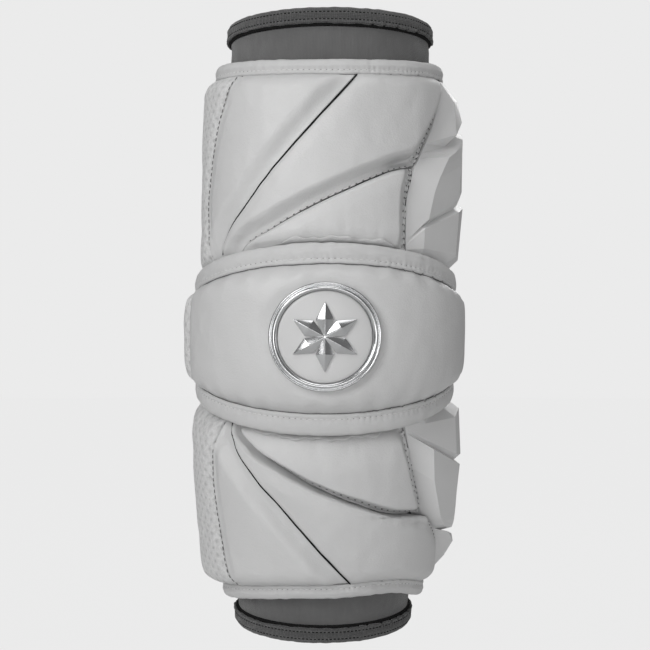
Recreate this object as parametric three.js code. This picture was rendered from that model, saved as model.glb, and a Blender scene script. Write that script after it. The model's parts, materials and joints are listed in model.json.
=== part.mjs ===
// A lacrosse arm pad as it sits on an arm: a knitted sleeve, padded panels and moulded side guards
// above and below the elbow, and a padded band round the elbow with a round medallion.
// Millimetres and degrees. +Z runs up the arm, and -Y is the outer side, which carries the medallion.
// The origin is the centre of the sleeve's hollow at the elbow.
import * as THREE from "three";

// The arm's line: the sleeve leans and bends a little away from the medallion on both sides of the elbow.
const reach_up = 163.5;
const reach_down = 165.5;
const bend_up = 4;
const bend_down = 9;
const bend_length = 60;
const lean_up = 1;
const lean_down = 0.4;

// The sleeve and its cuffs
const sleeve_half_width = 54;
const sleeve_half_depth = 46;
const sleeve_wall = 1.6;
const cuff_height = 9;
const cuff_wall = 1.6;

// What is kept clear between pieces that touch, and between panels along a seam
const clearance = 0.3;

// The upper and lower pads
const upper_pad_top = 134.5;
const lower_pad_bottom = 138.5;
const pad_split = 1;
const upper_edge_rise = 6.4;
const lower_edge_rise = 12;
const lower_edge_dent = 3.4;
const upper_elbow_scoop = 21;
const lower_elbow_scoop = 26;
const foam = 15;
const foam_underside = 0.8;
const guard_underside = 2.2;
const slot_clearance = 0.5;
const shortest_tuck = 1.5;
const seam_dip = 0.28;
const gusset_dip = 0.12;
const edge_thickness = 4;
const binding_height = 8.3;
const binding_wall = 1.3;
const edge_slope = 6;

// The moulded side guards, which run from the panels' right seam to back_seam
const guard_thickness = 22;
const guard_seam_thickness = 8.5;
const guard_back_ridge = 124;
const back_seam = 140;

// The band round the elbow
const band_centre = -5;
const band_half_height = 44.3;
const band_top_taper = 14;
const band_bottom_taper = 11;
const band_crown = 7.3;
const band_edge_thickness = 3.5;
const band_binding_height = 10;
const band_tuck = 9;
const tuck_start = 108;
const tuck_end = 180;
const band_left_seam = -73;
const band_right_seam = 112;

// The medallion on the elbow pad
const medallion_radius = 27.4;
const medallion_ring_width = 5;
// The flat front of the band is wider per degree than its sides
const medallion_widening = 1.06;
const medallion_ring_height = 3.2;
const disc_thickness = 2;
const petals = 6;
const petal_reach = 17;
const petal_half_width = 4.2;
const petal_height = 2.2;

// How finely round things are divided
const ring_steps = 30;
const medallion_steps = 32;
const panel_column = 11;
const gusset_column = 13;

const rad = THREE.MathUtils.degToRad;

// The sleeve's sections: reach is the share of the way from the elbow to that end of the sleeve.
const sleeve_sections = [
  { reach: -1, width: 0.86, depth: 0.85 },
  { reach: -0.85, width: 0.885, depth: 0.88 },
  { reach: -0.5, width: 0.965, depth: 0.96 },
  { reach: 0, width: 1, depth: 1 },
  { reach: 0.6, width: 1.01, depth: 1.01 },
  { reach: 1, width: 1, depth: 1 },
];

// The foam round the arm, as shares of foam for the pads and of band_crown for the band
const foam_round = [
  { turn: -220, upper: 0.45, lower: 0.45, band: 0.1 },
  { turn: -180, upper: 0.4, lower: 0.4, band: 0 },
  { turn: -150, upper: 0.45, lower: 0.5, band: 0.1 },
  { turn: -120, upper: 0.75, lower: 1, band: 0.7 },
  { turn: -90, upper: 0.93, lower: 1.27, band: 0.8 },
  { turn: -45, upper: 0.95, lower: 1.12, band: 0.95 },
  { turn: 0, upper: 0.93, lower: 1, band: 1 },
  { turn: 45, upper: 0.93, lower: 1, band: 0.95 },
  { turn: 90, upper: 0.9, lower: 0.9, band: 0.74 },
  { turn: 120, upper: 0.8, lower: 0.8, band: 0.6 },
  { turn: 150, upper: 0.5, lower: 0.5, band: 0.1 },
  { turn: 180, upper: 0.4, lower: 0.4, band: 0 },
];

// Each seam runs outwards from the elbow, its points counted in steps. Step 0 is the pad's hidden edge,
// along is 0 where the pad comes out from under the band and 1 at the mouth of its binding. The second
// seams end at seam_meet, where they join the right seams.
const seam_steps = 15;
const seam_meet = 9;
const seams = {
  upper_left: [
    { step: 0, along: -1, turn: -67 },
    { step: 1, along: 0, turn: -66.5 },
    { step: 5, along: 0.3, turn: -68 },
    { step: 9, along: 0.57, turn: -63.5 },
    { step: 12, along: 0.79, turn: -56.2 },
    { step: 15, along: 1, turn: -48 },
  ],
  upper_first: [
    { step: 0, along: -1, turn: -62 },
    { step: 1, along: 0, turn: -58 },
    { step: 5, along: 0.25, turn: -39.8 },
    { step: 9, along: 0.5, turn: -21.5 },
    { step: 12, along: 0.75, turn: -4 },
    { step: 15, along: 1, turn: 13 },
  ],
  upper_second: [
    { step: 0, along: -1, turn: -54 },
    { step: 1, along: 0, turn: -44.5 },
    { step: 3, along: 0.1, turn: -25.2 },
    { step: 5, along: 0.245, turn: 0 },
    { step: 7, along: 0.387, turn: 23 },
    { step: 8, along: 0.448, turn: 35 },
    { step: 9, along: 0.485, turn: 46.8 },
  ],
  upper_right: [
    { step: 0, along: -1, turn: 41.3 },
    { step: 1, along: 0, turn: 41.1 },
    { step: 2, along: 0.008, turn: 41.1 },
    { step: 3, along: 0.018, turn: 41 },
    { step: 4, along: 0.032, turn: 40.9 },
    { step: 5, along: 0.055, turn: 40.8 },
    { step: 6, along: 0.25, turn: 40.4 },
    { step: 8, along: 0.42, turn: 44.2 },
    { step: 9, along: 0.485, turn: 46.8 },
    { step: 12, along: 0.63, turn: 54.8 },
    { step: 14, along: 0.87, turn: 69 },
    { step: 15, along: 1, turn: 73 },
  ],
  lower_left: [
    { step: 0, along: -1, turn: -58 },
    { step: 1, along: 0, turn: -57 },
    { step: 5, along: 0.27, turn: -58.5 },
    { step: 9, along: 0.55, turn: -55.8 },
    { step: 12, along: 0.78, turn: -54 },
    { step: 15, along: 1, turn: -49.5 },
  ],
  lower_first: [
    { step: 0, along: -1, turn: -54 },
    { step: 1, along: 0, turn: -52 },
    { step: 3, along: 0.12, turn: -46 },
    { step: 5, along: 0.26, turn: -35.5 },
    { step: 9, along: 0.52, turn: -17.2 },
    { step: 12, along: 0.77, turn: -1.6 },
    { step: 15, along: 1, turn: 14 },
  ],
  lower_second: [
    { step: 0, along: -1, turn: -51 },
    { step: 1, along: 0, turn: -49 },
    { step: 3, along: 0.13, turn: -36 },
    { step: 4, along: 0.22, turn: -21 },
    { step: 5, along: 0.325, turn: -6.5 },
    { step: 7, along: 0.475, turn: 19 },
    { step: 8, along: 0.562, turn: 36 },
    { step: 9, along: 0.6, turn: 61.5 },
  ],
  lower_right: [
    { step: 0, along: -1, turn: 42.5 },
    { step: 1, along: 0, turn: 42.6 },
    { step: 2, along: 0.008, turn: 42.8 },
    { step: 3, along: 0.018, turn: 43.1 },
    { step: 4, along: 0.032, turn: 43.4 },
    { step: 5, along: 0.055, turn: 43.9 },
    { step: 6, along: 0.28, turn: 48.8 },
    { step: 8, along: 0.53, turn: 57.2 },
    { step: 9, along: 0.6, turn: 61.5 },
    { step: 12, along: 0.7, turn: 72 },
    { step: 14, along: 0.88, turn: 86 },
    { step: 15, along: 1, turn: 90 },
  ],
};

// The guards' facets at steps of the right seam: ridge and top are turns, crest is how far along the
// top of the facet lies, and the lifts are shares of guard_thickness. The low rows are the grooves.
const upper_facets = [
  { step: 0, crest: -1, ridge: 52, top: 98, ridge_lift: 0.6, top_lift: 0.7 },
  { step: 1, crest: 0, ridge: 51.5, top: 98, ridge_lift: 0.6, top_lift: 0.8 },
  { step: 2, crest: 0.09, ridge: 51, top: 98, ridge_lift: 0.6, top_lift: 0.86 },
  { step: 3, crest: 0.365, ridge: 50, top: 98, ridge_lift: 0.58, top_lift: 0.96 },
  { step: 4, crest: 0.38, ridge: 49.5, top: 98, ridge_lift: 0.46, top_lift: 0.8 },
  { step: 5, crest: 0.45, ridge: 51.5, top: 98, ridge_lift: 0.64, top_lift: 0.93 },
  { step: 7, crest: 0.6, ridge: 58, top: 98, ridge_lift: 0.7, top_lift: 0.91 },
  { step: 9, crest: 0.71, ridge: 65, top: 98, ridge_lift: 0.76, top_lift: 0.91 },
  { step: 10, crest: 0.75, ridge: 73, top: 98, ridge_lift: 0.78, top_lift: 0.9 },
  { step: 11, crest: 0.765, ridge: 72, top: 98, ridge_lift: 0.52, top_lift: 0.64 },
  { step: 12, crest: 0.84, ridge: 73, top: 99, ridge_lift: 0.8, top_lift: 0.86 },
  { step: 14, crest: 0.92, ridge: 77, top: 100, ridge_lift: 0.68, top_lift: 0.74 },
  { step: 15, crest: 1, ridge: 79, top: 101, ridge_lift: 0.37, top_lift: 0.4 },
];
const lower_facets = [
  { step: 0, crest: -1, ridge: 56, top: 98, ridge_lift: 0.5, top_lift: 0.8 },
  { step: 1, crest: 0, ridge: 56.5, top: 98, ridge_lift: 0.5, top_lift: 0.9 },
  { step: 2, crest: 0.09, ridge: 57, top: 98, ridge_lift: 0.52, top_lift: 0.99 },
  { step: 3, crest: 0.34, ridge: 57, top: 98, ridge_lift: 0.56, top_lift: 1.09 },
  { step: 4, crest: 0.37, ridge: 57.5, top: 98, ridge_lift: 0.5, top_lift: 0.93 },
  { step: 5, crest: 0.4, ridge: 57, top: 99, ridge_lift: 0.74, top_lift: 1.1 },
  { step: 6, crest: 0.54, ridge: 57.5, top: 100, ridge_lift: 0.78, top_lift: 1.06 },
  { step: 8, crest: 0.69, ridge: 64, top: 102, ridge_lift: 0.82, top_lift: 1.03 },
  { step: 10, crest: 0.735, ridge: 73, top: 103, ridge_lift: 0.82, top_lift: 0.99 },
  { step: 11, crest: 0.76, ridge: 77, top: 104, ridge_lift: 0.52, top_lift: 0.66 },
  { step: 12, crest: 0.785, ridge: 84, top: 105, ridge_lift: 0.86, top_lift: 1.06 },
  { step: 13, crest: 0.84, ridge: 92, top: 107, ridge_lift: 1.02, top_lift: 1.12 },
  { step: 14, crest: 0.91, ridge: 97, top: 110, ridge_lift: 0.88, top_lift: 0.96 },
  { step: 15, crest: 1, ridge: 101, top: 112, ridge_lift: 0.37, top_lift: 0.4 },
];

// A smooth value through a table's rows, which never swings past them: key names the column that x is
// measured in.
function through(rows, key, field, x) {
  const last = rows.length - 1;
  const held = Math.min(Math.max(x, rows[0][key]), rows[last][key]);
  let i = 0;
  while (i < last - 1 && held > rows[i + 1][key]) i += 1;
  const span = rows[i + 1][key] - rows[i][key];
  const rise = (k) => (rows[k + 1][field] - rows[k][field]) / (rows[k + 1][key] - rows[k][key]);
  const slope = (k) => {
    if (k === 0 || k === last) return rise(k === 0 ? 0 : last - 1);
    const [before, after] = [rise(k - 1), rise(k)];
    return before * after > 0 ? (2 * before * after) / (before + after) : 0;
  };
  const t = (held - rows[i][key]) / span;
  const bow = t * (1 - t) * ((1 - t) * slope(i) - t * slope(i + 1)) * span;
  return mix(rows[i][field], rows[i + 1][field], t * t * (3 - 2 * t)) + bow;
}

// A straight value between a table's rows
function between(rows, field, step) {
  const i = Math.max(1, rows.findIndex((row) => row.step >= step));
  const share = (step - rows[i - 1].step) / (rows[i].step - rows[i - 1].step);
  return mix(rows[i - 1][field], rows[i][field], share);
}

const ease = (t) => {
  const held = Math.min(Math.max(t, 0), 1);
  return held * held * (3 - 2 * held);
};
const mix = (from, to, share) => from + (to - from) * share;
const wrap = (turn) => ((((turn + 180) % 360) + 360) % 360) - 180;
const degrees = (length) => THREE.MathUtils.radToDeg(length / sleeve_half_width);

// Zero at the front of the arm, one at its sides and two at its back
const round_to_back = (turn) => 1 - Math.cos(rad(turn));
// Zero at the front of the arm and one at its back, risen already at its sides
const front_only = (turn) => round_to_back(turn) * (1.5 - 0.5 * round_to_back(turn));
// One half way from the front of the arm to its right side, and zero at both and beyond them
const right_front = (turn) => (wrap(turn) > 0 && wrap(turn) < 90 ? Math.sin(rad(2 * turn)) ** 2 : 0);

// The sleeve's outer half width and half depth at a height along the arm
function section(height) {
  const share = height / (height > 0 ? reach_up : reach_down);
  return {
    width: sleeve_half_width * through(sleeve_sections, "reach", "width", share),
    depth: sleeve_half_depth * through(sleeve_sections, "reach", "depth", share),
  };
}

// A point near the sleeve: turn goes round the arm from the front towards +X, height runs along the
// arm from the elbow, and lift is how far the point stands off the sleeve's outer surface.
function place(turn, height, lift) {
  const bend = rad(height > 0 ? bend_up : bend_down);
  const bent = Math.min(Math.abs(height), bend_length);
  const straight = Math.abs(height) - bent;
  const angle = (bend * bent) / bend_length;
  const radius = bend_length / bend;
  const side = Math.sign(height);
  const back = radius * (1 - Math.cos(angle)) + straight * Math.sin(angle);
  const up = radius * Math.sin(angle) + straight * Math.cos(angle);
  const { width, depth } = section(height);
  const across = (width + lift) * Math.sin(rad(turn));
  const forward = (depth + lift) * Math.cos(rad(turn));
  return new THREE.Vector3(
    height * Math.sin(rad(height > 0 ? lean_up : lean_down)) + across,
    back - forward * Math.cos(angle),
    side * up + forward * Math.sin(side * angle),
  );
}

// The band's edges, as heights at a turn
const band_top = (turn) => band_centre + band_half_height - band_top_taper * round_to_back(turn);
const band_bottom = (turn) => band_centre - band_half_height + band_bottom_taper * round_to_back(turn);

// The pads. Their edges are measured outwards from the elbow.
const pads = {
  upper: {
    outwards: 1,
    scoop: upper_elbow_scoop,
    end: (turn) => upper_pad_top + upper_edge_rise * front_only(turn),
    band: band_top,
    facets: upper_facets,
  },
  lower: {
    outwards: -1,
    scoop: lower_elbow_scoop,
    end: (turn) => lower_pad_bottom + lower_edge_rise * front_only(turn) - lower_edge_dent * right_front(turn),
    band: (turn) => -band_bottom(turn),
    facets: lower_facets,
  },
};

// Where a pad comes out from under the band, or ends beside it
function padStart(pad, turn) {
  return Math.max(pad.band(turn) + 3 * clearance, hiddenEnd(pad, turn) + shortest_tuck);
}

const hiddenEnd = (pad, turn) => pad_split + pad.scoop * round_to_back(turn);

function padAway(pad, turn, along) {
  const start = padStart(pad, turn);
  if (along < 0) return mix(start, hiddenEnd(pad, turn), -along);
  return mix(start, pad.end(turn) - binding_height - 2 * clearance, along);
}

// How thick the pads are under the band: they end before the back of the arm.
const tuck = (turn) => band_tuck * (1 - ease((Math.abs(wrap(turn)) - tuck_start) / (tuck_end - tuck_start)));

// The layers at a bound edge: the binding's inner wall lies under the edge and its outer wall over it.
const edge_low = clearance + binding_wall + slot_clearance;
const edge_high = edge_low + edge_thickness;
const band_low = (turn) => tuck(turn) + slot_clearance;
const band_edge_low = (turn) => band_low(turn) + binding_wall + slot_clearance;
const band_edge_high = (turn) => band_edge_low(turn) + band_edge_thickness;

// A closed slab over a grid of columns and rows. spot gives each corner's turn, height, low and high lift.
// A ring closes on itself round the arm.
function slab(columns, rows, spot, ring = false) {
  const points = [];
  const index = (i, j, side) => (j * columns + (i % columns)) * 2 + side;
  for (let j = 0; j < rows; j += 1) {
    for (let i = 0; i < columns; i += 1) {
      const { turn, height, low, high } = spot(i, j);
      points.push(place(turn, height, low), place(turn, height, high));
    }
  }
  const faces = [];
  const quad = (a, b, c, d) => faces.push(a, b, c, a, c, d);
  const shorter = (a, b, c, d) => {
    if (points[a].distanceTo(points[c]) <= points[b].distanceTo(points[d])) quad(a, b, c, d);
    else quad(b, c, d, a);
  };
  const across = ring ? columns : columns - 1;
  for (let j = 0; j < rows - 1; j += 1) {
    for (let i = 0; i < across; i += 1) {
      shorter(index(i, j, 1), index(i + 1, j, 1), index(i + 1, j + 1, 1), index(i, j + 1, 1));
      shorter(index(i, j, 0), index(i, j + 1, 0), index(i + 1, j + 1, 0), index(i + 1, j, 0));
    }
    if (!ring) {
      const end = columns - 1;
      quad(index(0, j, 0), index(0, j, 1), index(0, j + 1, 1), index(0, j + 1, 0));
      quad(index(end, j, 0), index(end, j + 1, 0), index(end, j + 1, 1), index(end, j, 1));
    }
  }
  for (let i = 0; i < across; i += 1) {
    const end = rows - 1;
    quad(index(i, 0, 0), index(i + 1, 0, 0), index(i + 1, 0, 1), index(i, 0, 1));
    quad(index(i, end, 1), index(i + 1, end, 1), index(i + 1, end, 0), index(i, end, 0));
  }
  return solid(points, faces);
}

// A ring round the arm whose profile, a closed loop of heights and lifts, runs anticlockwise
// as seen with heights upwards and lifts to the right.
function hoop(profile) {
  const points = [];
  const loop = profile(0).length;
  for (let k = 0; k < ring_steps; k += 1) {
    const turn = -180 + (k * 360) / ring_steps;
    for (const { height, lift } of profile(turn)) points.push(place(turn, height, lift));
  }
  return solid(points, tubeFaces(ring_steps, loop));
}

function tubeFaces(steps, loop) {
  const faces = [];
  for (let k = 0; k < steps; k += 1) {
    const next = (k + 1) % steps;
    for (let m = 0; m < loop; m += 1) {
      const n = (m + 1) % loop;
      const [a, b, c, d] = [k * loop + m, next * loop + m, next * loop + n, k * loop + n];
      faces.push(a, b, c, a, c, d);
    }
  }
  return faces;
}

function solid(points, faces) {
  const geometry = new THREE.BufferGeometry().setFromPoints(points);
  geometry.setIndex(faces);
  geometry.computeVertexNormals();
  return geometry;
}

// A tape folded round an edge. edge is the height of the fold and inward the way from it to the piece.
function foldedTape(edge, inward, depth, wall, inner_low, slot_low, slot_high) {
  return hoop((turn) => {
    const fold = edge(turn);
    const open = fold + inward * depth;
    const floor = fold + inward * wall;
    const outer_high = slot_high(turn) + wall;
    const loop = [
      { height: open, lift: slot_high(turn) },
      { height: open, lift: outer_high },
      { height: floor, lift: outer_high },
      { height: fold, lift: outer_high - wall },
      { height: fold, lift: inner_low(turn) },
      { height: open, lift: inner_low(turn) },
      { height: open, lift: slot_low(turn) },
      { height: floor, lift: slot_low(turn) },
      { height: floor, lift: slot_high(turn) },
    ];
    return inward < 0 ? loop : loop.reverse();
  });
}

// The sleeve, open at both ends
function sleeve() {
  const rows = [-1, -0.85, -0.65, -0.4, -0.25, -0.12, 0, 0.12, 0.25, 0.4, 1];
  const stop = cuff_wall + clearance;
  return slab(
    ring_steps,
    rows.length,
    (i, j) => {
      const share = rows[j];
      const height = share > 0 ? share * (reach_up - stop) : share * (reach_down - stop);
      return { turn: -180 + (i * 360) / ring_steps, height, low: -sleeve_wall, high: 0 };
    },
    true,
  );
}

function cuff(end, inward) {
  return foldedTape(
    () => end,
    inward,
    cuff_height,
    cuff_wall,
    () => -sleeve_wall - clearance - cuff_wall,
    () => -sleeve_wall - clearance,
    () => clearance,
  );
}

// A corner of a pad at a row: a share along it, or one of the last two rows, which lie in the binding.
function padCorner(pad, turn, along, row, low, full) {
  if (typeof row === "string") {
    const inset = row === "mouth" ? binding_height + clearance : binding_wall + clearance;
    return { turn, height: pad.outwards * (pad.end(turn) - inset), low: edge_low, high: edge_high };
  }
  const away = padAway(pad, turn, along);
  const high = Math.max(lowered(pad, turn, away, full), low + sleeve_wall);
  return { turn, height: pad.outwards * away, low: along > 0 ? low : 2 * low, high };
}

// A full lift, lowered under the band and down towards the binding
function lowered(pad, turn, away, full) {
  const at_binding = mix(Math.min(full, edge_high + binding_wall), full, 0.5);
  const from_mouth = pad.end(turn) - binding_height - away;
  const free = mix(at_binding, full, ease(from_mouth / edge_slope));
  return mix(Math.min(free, band_tuck), free, ease((away - padStart(pad, turn)) / edge_slope));
}

const seam = (name) => (step) => ({
  turn: through(seams[name], "step", "turn", step),
  along: through(seams[name], "step", "along", step),
});

// The middle panel's right side follows the second seam until that meets the right seam.
const middleRight = (name) => (step) => seam(step < seam_meet ? `${name}_second` : `${name}_right`)(step);
const backSeam = (turn) => (step) => ({ turn, along: step < 1 ? step - 1 : (step - 1) / (seam_steps - 1) });

// A seam's point moved half the clearance to one side, 1 being right as seen from outside with the
// seam running up
function beside(line, step, side, room = clearance) {
  const ahead = line(step + 0.5);
  const behind = line(step - 0.5);
  const across = rad(ahead.turn - behind.turn) * sleeve_half_width;
  const rise = (ahead.along - behind.along) * (upper_pad_top - band_half_height);
  const gap = (side * room) / 2 / Math.hypot(across, rise);
  const { turn, along } = line(step);
  return { turn: turn + degrees(gap * rise), along: along - (gap * across) / upper_pad_top };
}

const upTo = (steps) => Array.from({ length: steps + 1 }, (_, step) => step);
const bound_rows = [...upTo(seam_steps), "mouth", "end"];
const inner_rows = [...upTo(seam_meet - 1), seam_meet - 0.2];
const stepOf = (row) => (typeof row === "string" ? seam_steps : row);

// A padded panel between two seams. dip says how much lower its sides are than its middle.
function panel(name, left, right, padRows, dip, column) {
  const pad = pads[name];
  const rows = pad.outwards > 0 ? padRows : [...padRows].reverse();
  const widest = Math.max(...upTo(seam_meet - 1).map((step) => right(step).turn - left(step).turn));
  const ending = right(stepOf(padRows[padRows.length - 1])).turn - left(stepOf(padRows[padRows.length - 1])).turn;
  const columns = Math.max(3, Math.ceil(Math.max(widest, ending) / column)) + 1;
  return slab(columns, rows.length, (i, j) => {
    const step = stepOf(rows[j]);
    const room = Number.isInteger(step) ? clearance : 4 * clearance;
    const from = beside(left, step, 1, room);
    const to = beside(right, step, -1, room);
    const u = i / (columns - 1);
    const turn = mix(from.turn, to.turn, u);
    const dome = 1 - dip * Math.abs(2 * u - 1) ** 3;
    const full = foam * dome * through(foam_round, "turn", name, turn);
    return padCorner(pad, turn, mix(from.along, to.along, u), rows[j], foam_underside, full);
  });
}

// A moulded guard of flat facets with grooves between its segments
function guard(name) {
  const pad = pads[name];
  const rows = pad.outwards > 0 ? bound_rows : [...bound_rows].reverse();
  return slab(6, rows.length, (i, j) => {
    const step = stepOf(rows[j]);
    const facet = (field) => between(pad.facets, field, step);
    const front = beside(seam(`${name}_right`), step, 1);
    const back = beside(backSeam(back_seam), step, -1);
    const [ridge, top, crest] = [facet("ridge"), facet("top"), facet("crest")];
    const [ridge_lift, top_lift] = [facet("ridge_lift"), facet("top_lift")];
    const seam_lift = guard_seam_thickness / guard_thickness;
    const stations = [
      { turn: front.turn, along: front.along, lift: Math.min(seam_lift, ridge_lift) },
      { turn: ridge, along: mix(front.along, crest, 0.35), lift: ridge_lift },
      { turn: mix(ridge, top, 0.55), along: mix(front.along, crest, 0.8), lift: mix(ridge_lift, top_lift, 0.7) },
      { turn: top, along: crest, lift: top_lift },
      { turn: guard_back_ridge, along: mix(back.along, crest, 0.6), lift: mix(seam_lift, top_lift, 0.6) },
      { turn: back.turn, along: back.along, lift: Math.min(seam_lift, top_lift) },
    ];
    const { along, lift } = stations[i];
    const turn = typeof rows[j] === "string" ? mix(front.turn, back.turn, i / 5) : stations[i].turn;
    return padCorner(pad, turn, along, rows[j], guard_underside, lift * guard_thickness);
  });
}

function padBinding(pad) {
  return foldedTape(
    (turn) => pad.outwards * pad.end(turn),
    -pad.outwards,
    binding_height,
    binding_wall,
    () => clearance,
    () => edge_low - slot_clearance,
    () => edge_high + slot_clearance,
  );
}

// The band's outer surface: share is 0 at its lower edge and 1 at its upper edge.
function bandLift(turn, share) {
  const edge = band_edge_high(turn) + slot_clearance + binding_wall;
  const crown = band_crown * through(foam_round, "turn", "band", wrap(turn));
  return edge + crown * (1 - Math.abs(2 * share - 1) ** 6) ** 0.8;
}

function bandPanel(from, to) {
  const columns = Math.ceil((to - from) / panel_column) + 1;
  const rows = ["end", "mouth", 0, 0.12, 0.33, 0.67, 0.88, 1, "mouth", "end"];
  const inset = { end: binding_wall + clearance, mouth: band_binding_height + clearance };
  const body = band_binding_height + 2 * clearance;
  return slab(columns, rows.length, (i, j) => {
    const turn = mix(from + degrees(clearance / 2), to - degrees(clearance / 2), i / (columns - 1));
    const [bottom, top] = [band_bottom(turn), band_top(turn)];
    const row = rows[j];
    if (typeof row === "string") {
      const height = j < rows.length / 2 ? bottom + inset[row] : top - inset[row];
      return { turn, height, low: band_edge_low(turn), high: band_edge_high(turn) };
    }
    return { turn, height: mix(bottom + body, top - body, row), low: band_low(turn), high: bandLift(turn, row) };
  });
}

function bandBinding(edge, inward) {
  return foldedTape(
    edge,
    inward,
    band_binding_height,
    binding_wall,
    band_low,
    (turn) => band_edge_low(turn) - slot_clearance,
    (turn) => band_edge_high(turn) + slot_clearance,
  );
}

// A point of the medallion: radius and clock angle from its centre, and how far it stands off the elbow
// pad. The pad bends with the arm, so its outside is longer than the arm's line.
function onMedallion(radius, clock, off) {
  const stand = band_tuck + band_crown;
  const stretch = (bend) => 1 + (rad(bend) * (sleeve_half_depth + stand)) / bend_length;
  const across = (sleeve_half_width + stand) * medallion_widening;
  const turn = THREE.MathUtils.radToDeg((radius * Math.sin(rad(clock))) / across);
  const rise = band_centre * stretch(bend_down) + radius * Math.cos(rad(clock));
  const height = rise / stretch(rise > 0 ? bend_up : bend_down);
  const [bottom, top] = [band_bottom(turn), band_top(turn)];
  const body = band_binding_height + 2 * clearance;
  const share = (height - bottom - body) / (top - bottom - 2 * body);
  return place(turn, height, bandLift(turn, share) + clearance + off);
}

function medallionRing() {
  const inner = medallion_radius - medallion_ring_width;
  const profile = [
    { radius: inner, off: 0 },
    { radius: inner, off: disc_thickness },
    { radius: mix(inner, medallion_radius, 0.28), off: medallion_ring_height },
    { radius: mix(inner, medallion_radius, 0.72), off: medallion_ring_height },
    { radius: medallion_radius, off: disc_thickness / 2 },
    { radius: medallion_radius, off: 0 },
  ];
  const points = [];
  for (let k = 0; k < medallion_steps; k += 1) {
    for (const { radius, off } of profile) points.push(onMedallion(radius, (k * 360) / medallion_steps, off));
  }
  return solid(points, tubeFaces(medallion_steps, profile.length));
}

function medallionDisc() {
  const rim = medallion_radius - medallion_ring_width - clearance;
  const profile = [
    { radius: rim / 3, off: 0 },
    { radius: (rim * 2) / 3, off: 0 },
    { radius: rim, off: 0 },
    { radius: rim, off: disc_thickness },
    { radius: (rim * 2) / 3, off: disc_thickness },
    { radius: rim / 3, off: disc_thickness },
  ];
  const points = [onMedallion(0, 0, 0), onMedallion(0, 0, disc_thickness)];
  const faces = [];
  const loop = profile.length;
  for (let k = 0; k < medallion_steps; k += 1) {
    for (const { radius, off } of profile) points.push(onMedallion(radius, (k * 360) / medallion_steps, off));
    const [here, next] = [2 + k * loop, 2 + ((k + 1) % medallion_steps) * loop];
    faces.push(0, here, next);
    faces.push(1, next + loop - 1, here + loop - 1);
    for (let m = 0; m < loop - 1; m += 1) {
      faces.push(here + m, here + m + 1, next + m + 1, here + m, next + m + 1, next + m);
    }
  }
  return solid(points, faces);
}

// A rosette of long faceted petals on the disc
function medallionRosette() {
  const base = disc_thickness + clearance;
  const widest = petal_reach / 2;
  const notch = petal_half_width * 0.9;
  const step = 360 / petals;
  const half = THREE.MathUtils.radToDeg(Math.atan2(petal_half_width, widest));
  const points = [onMedallion(0, 0, base), onMedallion(0, 0, base + petal_height / 2)];
  const faces = [];
  const per = 9;
  for (let k = 0; k < petals; k += 1) {
    const clock = k * step;
    const side = Math.hypot(widest, petal_half_width);
    const outline = [
      [notch, clock - step / 2],
      [side, clock - half],
      [petal_reach, clock],
      [side, clock + half],
    ];
    for (const [radius, angle] of outline) points.push(onMedallion(radius, angle, base));
    for (const [radius, angle] of outline) points.push(onMedallion(radius, angle, base + petal_height / 4));
    points.push(onMedallion(widest, clock, base + petal_height));
    const low = 2 + k * per;
    const high = low + 4;
    const ridge = low + 8;
    const next_low = 2 + ((k + 1) % petals) * per;
    const next_high = next_low + 4;
    faces.push(0, low, low + 1, 0, low + 1, low + 3, low + 1, low + 2, low + 3, 0, low + 3, next_low);
    const rim_low = [low, low + 1, low + 2, low + 3, next_low];
    const rim_high = [high, high + 1, high + 2, high + 3, next_high];
    for (let m = 0; m < 4; m += 1) {
      faces.push(rim_low[m], rim_high[m], rim_high[m + 1], rim_low[m], rim_high[m + 1], rim_low[m + 1]);
      faces.push(ridge, rim_high[m + 1], rim_high[m]);
    }
    faces.push(1, ridge, high, 1, next_high, ridge);
  }
  return solid(points, faces);
}

const finish = (color, roughness, metalness = 0) => new THREE.MeshStandardMaterial({ color, roughness, metalness });
const knit = finish(0x5e5f60, 0.95);
const elastic = finish(0x3d3e3f, 0.95);
const coated = finish(0xc6c7c8, 0.5);
const binding = finish(0xc9cacb, 0.6);
const mesh_cloth = finish(0xbcbdbe, 0.85);
const moulded = finish(0xc0c1c2, 0.45);
const chrome = finish(0xb9babc, 0.22, 1);

const arm_pad = new THREE.Group();
function add(name, geometry, material) {
  const mesh = new THREE.Mesh(geometry, material);
  mesh.name = name;
  arm_pad.add(mesh);
}

add("sleeve", sleeve(), knit);
add("cuff_upper", cuff(reach_up, -1), elastic);
add("cuff_lower", cuff(-reach_down, 1), elastic);
for (const name of ["upper", "lower"]) {
  const [left, first, second, right] = ["left", "first", "second", "right"].map((side) => seam(`${name}_${side}`));
  const wide = [bound_rows, seam_dip, panel_column];
  add(`${name}_panel_outer`, panel(name, left, first, ...wide), coated);
  add(`${name}_panel_middle`, panel(name, first, middleRight(name), ...wide), coated);
  add(`${name}_panel_inner`, panel(name, second, right, inner_rows, seam_dip, panel_column), coated);
  const around = backSeam(back_seam - 360);
  add(`${name}_gusset`, panel(name, around, left, bound_rows, gusset_dip, gusset_column), mesh_cloth);
  add(`${name}_side_guard`, guard(name), moulded);
  add(`${name}_binding`, padBinding(pads[name]), binding);
}
add("elbow_pad", bandPanel(band_left_seam, band_right_seam), coated);
add("elbow_gusset", bandPanel(band_right_seam - 360, band_left_seam), mesh_cloth);
add("elbow_binding_upper", bandBinding(band_top, -1), binding);
add("elbow_binding_lower", bandBinding(band_bottom, 1), binding);
add("medallion_ring", medallionRing(), chrome);
add("medallion_disc", medallionDisc(), coated);
add("medallion_rosette", medallionRosette(), chrome);

export default arm_pad;
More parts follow.
